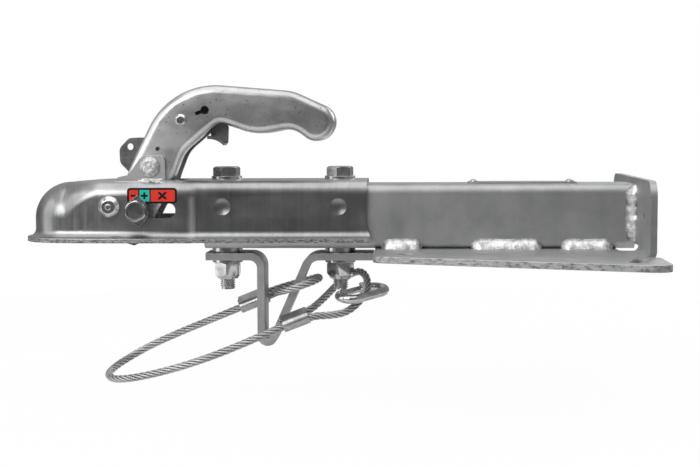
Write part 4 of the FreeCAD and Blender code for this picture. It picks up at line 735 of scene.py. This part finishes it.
def add_thread(shape, x, top, bottom):
    """A bolt end with a metric coarse thread, drawn by a climbing spin."""
    pitch = 1.75 * MM
    root, crest = 5.15 * MM, 6.0 * MM
    sunk = root - 0.3 * MM
    bmesh.ops.create_cone(
        shape, cap_ends=True, segments=36, radius1=root, radius2=root, depth=top - bottom,
        matrix=Matrix.Translation((x, 0.0, (top + bottom) / 2)))
    turns = int((top - bottom - 1.2 * MM) / pitch)
    steps = 28
    start = bottom + 0.6 * MM
    points = [
        (sunk, 0.0), (crest, 0.36 * pitch), (crest, 0.56 * pitch), (sunk, 0.92 * pitch)]
    corners = [shape.verts.new((x + radius, 0.0, start + rise)) for radius, rise in points]
    ring = [shape.edges.new((corners[i], corners[(i + 1) % 4])) for i in range(4)]
    bmesh.ops.spin(
        shape, geom=corners + ring, cent=(x, 0.0, 0.0), axis=(0.0, 0.0, 1.0),
        dvec=(0.0, 0.0, pitch / steps), angle=2 * math.pi * turns, steps=steps * turns,
        use_merge=False, use_normal_flip=False, use_duplicate=False)
    ends = [edge for edge in shape.edges if edge.is_boundary]
    bmesh.ops.holes_fill(shape, edges=ends)


def thread_bolts(shape):
    """Cuts the plain ends off the bolts and gives them threaded ones."""
    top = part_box("lock_nuts")[0][2] + 1.6 * MM
    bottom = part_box("through_bolts")[0][2]
    everything = shape.verts[:] + shape.edges[:] + shape.faces[:]
    cut = bmesh.ops.bisect_plane(
        shape, geom=everything, plane_co=(0.0, 0.0, top), plane_no=(0.0, 0.0, 1.0),
        clear_inner=True)["geom_cut"]
    rims = [part for part in cut if isinstance(part, bmesh.types.BMEdge)]
    bmesh.ops.holes_fill(shape, edges=rims)
    for x in BOLT_STATIONS:
        add_thread(shape, x * MM, top - 0.1 * MM, bottom)
    bmesh.ops.recalc_face_normals(shape, faces=shape.faces)


REWORK = {
    "coupler_body": dish_dimples,
    "handle_shell": close_far_keyhole,
    "through_bolts": thread_bolts,
}

# Width of the rounded edges in millimetres, where it isn't the usual one.
# The nodes with None get pieces of their own.
USUAL_EDGE = 0.25
EDGE_WIDTH = {
    "coupler_body": 0.6, "drawbar_tube": 0.3, "mounting_plate": 0.6, "rope_bracket": 0.6,
    "handle_shell": 0.5, "through_bolts": 0.4, "lock_nuts": 0.4, "type_plate": 0.1,
    "safety_rope": None, "nylon_rings": 0.1, "plate_rivets": 0.1, "catch_spring": 0.0,
    "closing_spring": 0.0, "bottom_welds": None, "end_welds": None, "gate_pin": 0.1,
    "pointer_plate": 0.15, "snap_gate": 0.15, "snap_hook_body": 0.2, "catch_pin": 0.2,
}
PIECES = {}
for name in frame["nodes"]:
    width = EDGE_WIDTH.get(name, USUAL_EDGE)
    if width is not None:
        PIECES[name] = dressed(name, width, REWORK.get(name))


# Weld beads: a section drawn along the joint, small at both ends, with crescent ripples

TUBE_SIDE = 25.0
TUBE_CORNER = 7.0
BEAD_STEP = 0.6
BEAD_END = 8.0
RIPPLE_PITCH = 2.6
RIPPLE_LAG = 2.0
RIPPLE_WIDTH = 8.0
# Height in millimetres, share of the ripples' beat and start angle of each wave
RIPPLE_WAVES = ((0.08, 1.0, 0.0), (0.16, 0.31, 1.0), (0.24, 0.083, 2.2))


def draw_bead(shape, section, places):
    """Extrudes a section from place to place. Its first corner is the bead's root."""
    corners = [shape.verts.new(places[0] @ corner) for corner in section]
    bmesh.ops.contextual_create(shape, geom=corners)
    verts = corners
    edges = edges_round(verts)
    end_length = BEAD_END * MM
    roots = [place @ section[0] for place in places]
    ways = [0.0]
    for start, end in zip(places, places[1:]):
        ways.append(ways[-1] + (end @ section[-1] - start @ section[-1]).length)
    sizes = []
    for way in ways:
        from_end = min(way, ways[-1] - way, end_length) / end_length
        sizes.append(0.25 + 0.75 * math.sqrt(1 - (1 - from_end) ** 2))
    bmesh.ops.scale(
        shape, vec=(sizes[0],) * 3, space=Matrix.Translation(-roots[0]), verts=verts)
    for i in range(1, len(places)):
        verts, edges, _ = extrude_ring(shape, edges)
        move = places[i] @ places[i - 1].inverted()
        bmesh.ops.transform(shape, matrix=move, verts=verts)
        growth = sizes[i] / sizes[i - 1]
        bmesh.ops.scale(
            shape, vec=(growth,) * 3, space=Matrix.Translation(-roots[i]), verts=verts)
    bmesh.ops.contextual_create(shape, geom=edges)


def ripple(shape, along, across):
    """Lifts crescents across a bead. along and across give a point's place on it."""
    bmesh.ops.recalc_face_normals(shape, faces=shape.faces)
    shape.normal_update()
    for vert in shape.verts:
        outward = min(across(vert.co) / (RIPPLE_WIDTH * MM), 1.0)
        lag = RIPPLE_LAG * MM * math.sin(math.pi * outward)
        beat = 2 * math.pi * (along(vert.co) + lag) / (RIPPLE_PITCH * MM)
        lift = sum(height * math.sin(beat * share + start) for height, share, start in RIPPLE_WAVES)
        vert.co += vert.normal * lift * MM


def weld_piece(name, node_name, draw):
    """Both sides' beads as one piece in the chassis."""
    shape = bmesh.new()
    draw(shape)
    made = shape.verts[:] + shape.edges[:] + shape.faces[:]
    bmesh.ops.mirror(shape, geom=made, axis="Y", merge_dist=-1.0)
    bmesh.ops.recalc_face_normals(shape, faces=shape.faces)
    soften(shape, 60.0)
    piece = new_piece(name, finished_mesh(shape, name), "chassis", "weld_metal")
    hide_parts(node_name)


def draw_bottom_beads(shape):
    """Three runs along the tube's foot. The section's corners are out from it and up."""
    section = [
        (-3.4, 0.0), (-2.0, 2.1), (-0.9, 3.5), (-0.2, 5.2), (0.0, 7.0), (0.0, 7.9), (1.1, 7.2),
        (2.5, 6.2), (3.7, 4.9), (4.7, 3.4), (5.6, 1.7), (6.3, 0.0),
    ]
    section = [
        Vector((0.0, (TUBE_SIDE + out) * MM, (PLATE_GAUGE + up) * MM)) for out, up in section]
    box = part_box("bottom_welds")
    front, rear = box[0][0], box[1][0]
    spans = [
        (front, front + 32.5 * MM), (front + 69.5 * MM, front + 124.5 * MM),
        (rear - 40.0 * MM, rear)]
    for start, end in spans:
        steps = round((end - start) / (BEAD_STEP * MM))
        draw_bead(shape, section, [
            Matrix.Translation((start + (end - start) * i / steps, 0.0, 0.0))
            for i in range(steps + 1)])
    ripple(shape, lambda point: point.x, lambda point: point.z - PLATE_GAUGE * MM)


def draw_end_bead(shape):
    """A run up the tube's end and round its corner. The section's corners are ahead and out."""
    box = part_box("end_welds")
    face, start = box[1][0], box[0][2]
    bend = (PLATE_GAUGE + 2 * TUBE_SIDE - TUBE_CORNER) * MM
    section = [
        (0.0, 0.0), (0.0, 7.5), (1.4, 7.3), (3.1, 6.3), (4.7, 4.7), (6.3, 3.1), (7.3, 1.4),
        (7.5, 0.0)]
    section = [Vector((face - ahead * MM, (TUBE_SIDE + out) * MM, bend)) for ahead, out in section]
    steps = round((bend - start) / (BEAD_STEP * MM))
    places = [
        Matrix.Translation((0.0, 0.0, (start - bend) * (1 - i / steps))) for i in range(steps + 1)]
    hub = Matrix.Translation((face, (TUBE_SIDE - TUBE_CORNER) * MM, bend))
    for degrees in range(3, 45, 3):
        places.append(hub @ Matrix.Rotation(math.radians(degrees), 4, "X") @ hub.inverted())
    draw_bead(shape, section, places)
    ripple(shape, lambda point: point.z * 1.2, lambda point: face - point.x)


weld_piece("bottom_weld_beads", "bottom_welds", draw_bottom_beads)
weld_piece("end_weld_beads", "end_welds", draw_end_bead)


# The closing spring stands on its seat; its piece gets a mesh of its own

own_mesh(PIECES["closing_spring"])


# Coloured strip beside the pointer

def add_scale_strip():
    """A thin strip on the near wall, with its four corners rounded."""
    shape = bmesh.new()
    bmesh.ops.create_cube(shape, size=1.0)
    bmesh.ops.scale(shape, vec=Vector(STRIP_SIZE) * MM, verts=shape.verts)
    bmesh.ops.translate(shape, vec=Vector(STRIP_PLACE) * MM, verts=shape.verts)
    corners = [
        edge for edge in shape.edges
        if abs(edge.verts[0].co.y - edge.verts[1].co.y) > 0.1 * MM]
    bmesh.ops.bevel(
        shape, geom=corners, offset=2.6 * MM, segments=6, profile=0.5, affect="EDGES", material=-1)
    soften(shape)
    mesh = finished_mesh(shape, "scale_strip")
    new_piece("scale_strip", mesh, "chassis", "zinc_shell", scale_colours())


add_scale_strip()


# Floor, backdrop and lights

FLOOR_RADIUS = 0.62
FLOOR_PLACE = (-0.06, 0.16, -0.112)
FLOOR_GLOSS = 0.15
WORLD_GLOSS = 0.05


def background_share(tree, in_gloss):
    """How far a ray sees plain white: the camera and clear pieces fully, gloss in part."""
    seen = node(tree, "ShaderNodeLightPath", {}, {}, "Is Camera Ray")
    glossy = node(tree, "ShaderNodeLightPath", {}, {}, "Is Glossy Ray")
    through = node(tree, "ShaderNodeLightPath", {}, {}, "Is Transmission Ray")
    return (seen + glossy * in_gloss + through).math("MINIMUM", 1.0)


def add_floor():
    """A white disc under the part that fades into the backdrop and takes a faint shadow."""
    shape = bmesh.new()
    bmesh.ops.create_circle(shape, cap_ends=True, segments=96, radius=FLOOR_RADIUS)
    bmesh.ops.translate(shape, vec=FLOOR_PLACE, verts=shape.verts)
    mesh = finished_mesh(shape, "floor")
    floor = bpy.data.objects.new("floor", mesh)
    scene.collection.objects.link(floor)
    material = bpy.data.materials.new("floor_white")
    material.use_nodes = True
    tree = material.node_tree
    output = tree.nodes["Material Output"]
    shader = tree.nodes["Principled BSDF"]
    shader.inputs["Base Color"].default_value = (0.80, 0.80, 0.80, 1.0)
    shader.inputs["Roughness"].default_value = 0.9
    glow = node(tree, "ShaderNodeEmission", {}, {"Color": (1.0, 1.0, 1.0), "Strength": 1.0})
    mix = node(tree, "ShaderNodeMixShader", {}, {
        0: background_share(tree, FLOOR_GLOSS) * 0.97,
        1: Wire(tree, shader.outputs[0]), 2: glow})
    tree.links.new(mix.socket, output.inputs["Surface"])
    mesh.materials.append(material)


def add_world():
    """White for the camera; for the object a light ceiling over a dim horizon."""
    world = bpy.data.worlds.new("studio")
    scene.world = world
    world.use_nodes = True
    tree = world.node_tree
    background = tree.nodes["Background"]
    heading = node(tree, "ShaderNodeTexCoord", {}, {}, "Generated")
    height = node(tree, "ShaderNodeSeparateXYZ", {}, {0: heading}, 2)
    near_side = 0 - node(tree, "ShaderNodeSeparateXYZ", {}, {0: heading}, 1)
    greys = (
        (0.0, 0.30), (0.38, 0.34), (0.46, 0.22), (0.52, 0.13), (0.60, 0.25), (0.70, 0.45),
        (0.84, 0.56), (1.0, 0.60))
    stops = [(place, (grey, grey, grey)) for place, grey in greys]
    tone = node(tree, "ShaderNodeValToRGB", {"stops": stops}, {"Fac": height * 0.5 + 0.5})
    dimmed = node(tree, "ShaderNodeMix", {"data_type": "RGBA"}, {
        "Factor": near_side.over(0.80, 0.07) * 0.80, 6: tone, 7: (0.03, 0.03, 0.03)}, 2)
    colour = node(tree, "ShaderNodeMix", {"data_type": "RGBA"}, {
        "Factor": background_share(tree, WORLD_GLOSS), 6: dimmed, 7: (1.0, 1.0, 1.0)}, 2)
    tree.links.new(colour.socket, background.inputs["Color"])
    background.inputs["Strength"].default_value = 1.0


def add_light(name, place, target, size, power):
    """A rectangular light that faces its target."""
    data = bpy.data.lights.new(name, "AREA")
    data.shape = "RECTANGLE"
    data.size, data.size_y = size
    data.energy = power
    light = bpy.data.objects.new(name, data)
    light.location = place
    aim = Vector(target) - Vector(place)
    light.rotation_euler = aim.to_track_quat("-Z", "Y").to_euler()
    scene.collection.objects.link(light)


add_floor()
add_world()
add_light("top_light", (-0.05, -0.25, 1.15), (-0.05, 0.0, 0.05), (1.6, 1.3), 7.0)
add_light("front_light", (-0.8, -1.2, 0.75), (-0.1, 0.0, 0.05), (0.9, 0.8), 8.5)
add_light("rear_light", (0.8, 0.9, 0.6), (0.0, 0.0, 0.05), (0.9, 0.7), 5.0)
add_light("nose_light", (-1.15, -0.30, 0.25), (-0.15, 0.0, 0.03), (0.6, 1.2), 2.4)

scene.view_settings.view_transform = "Standard"
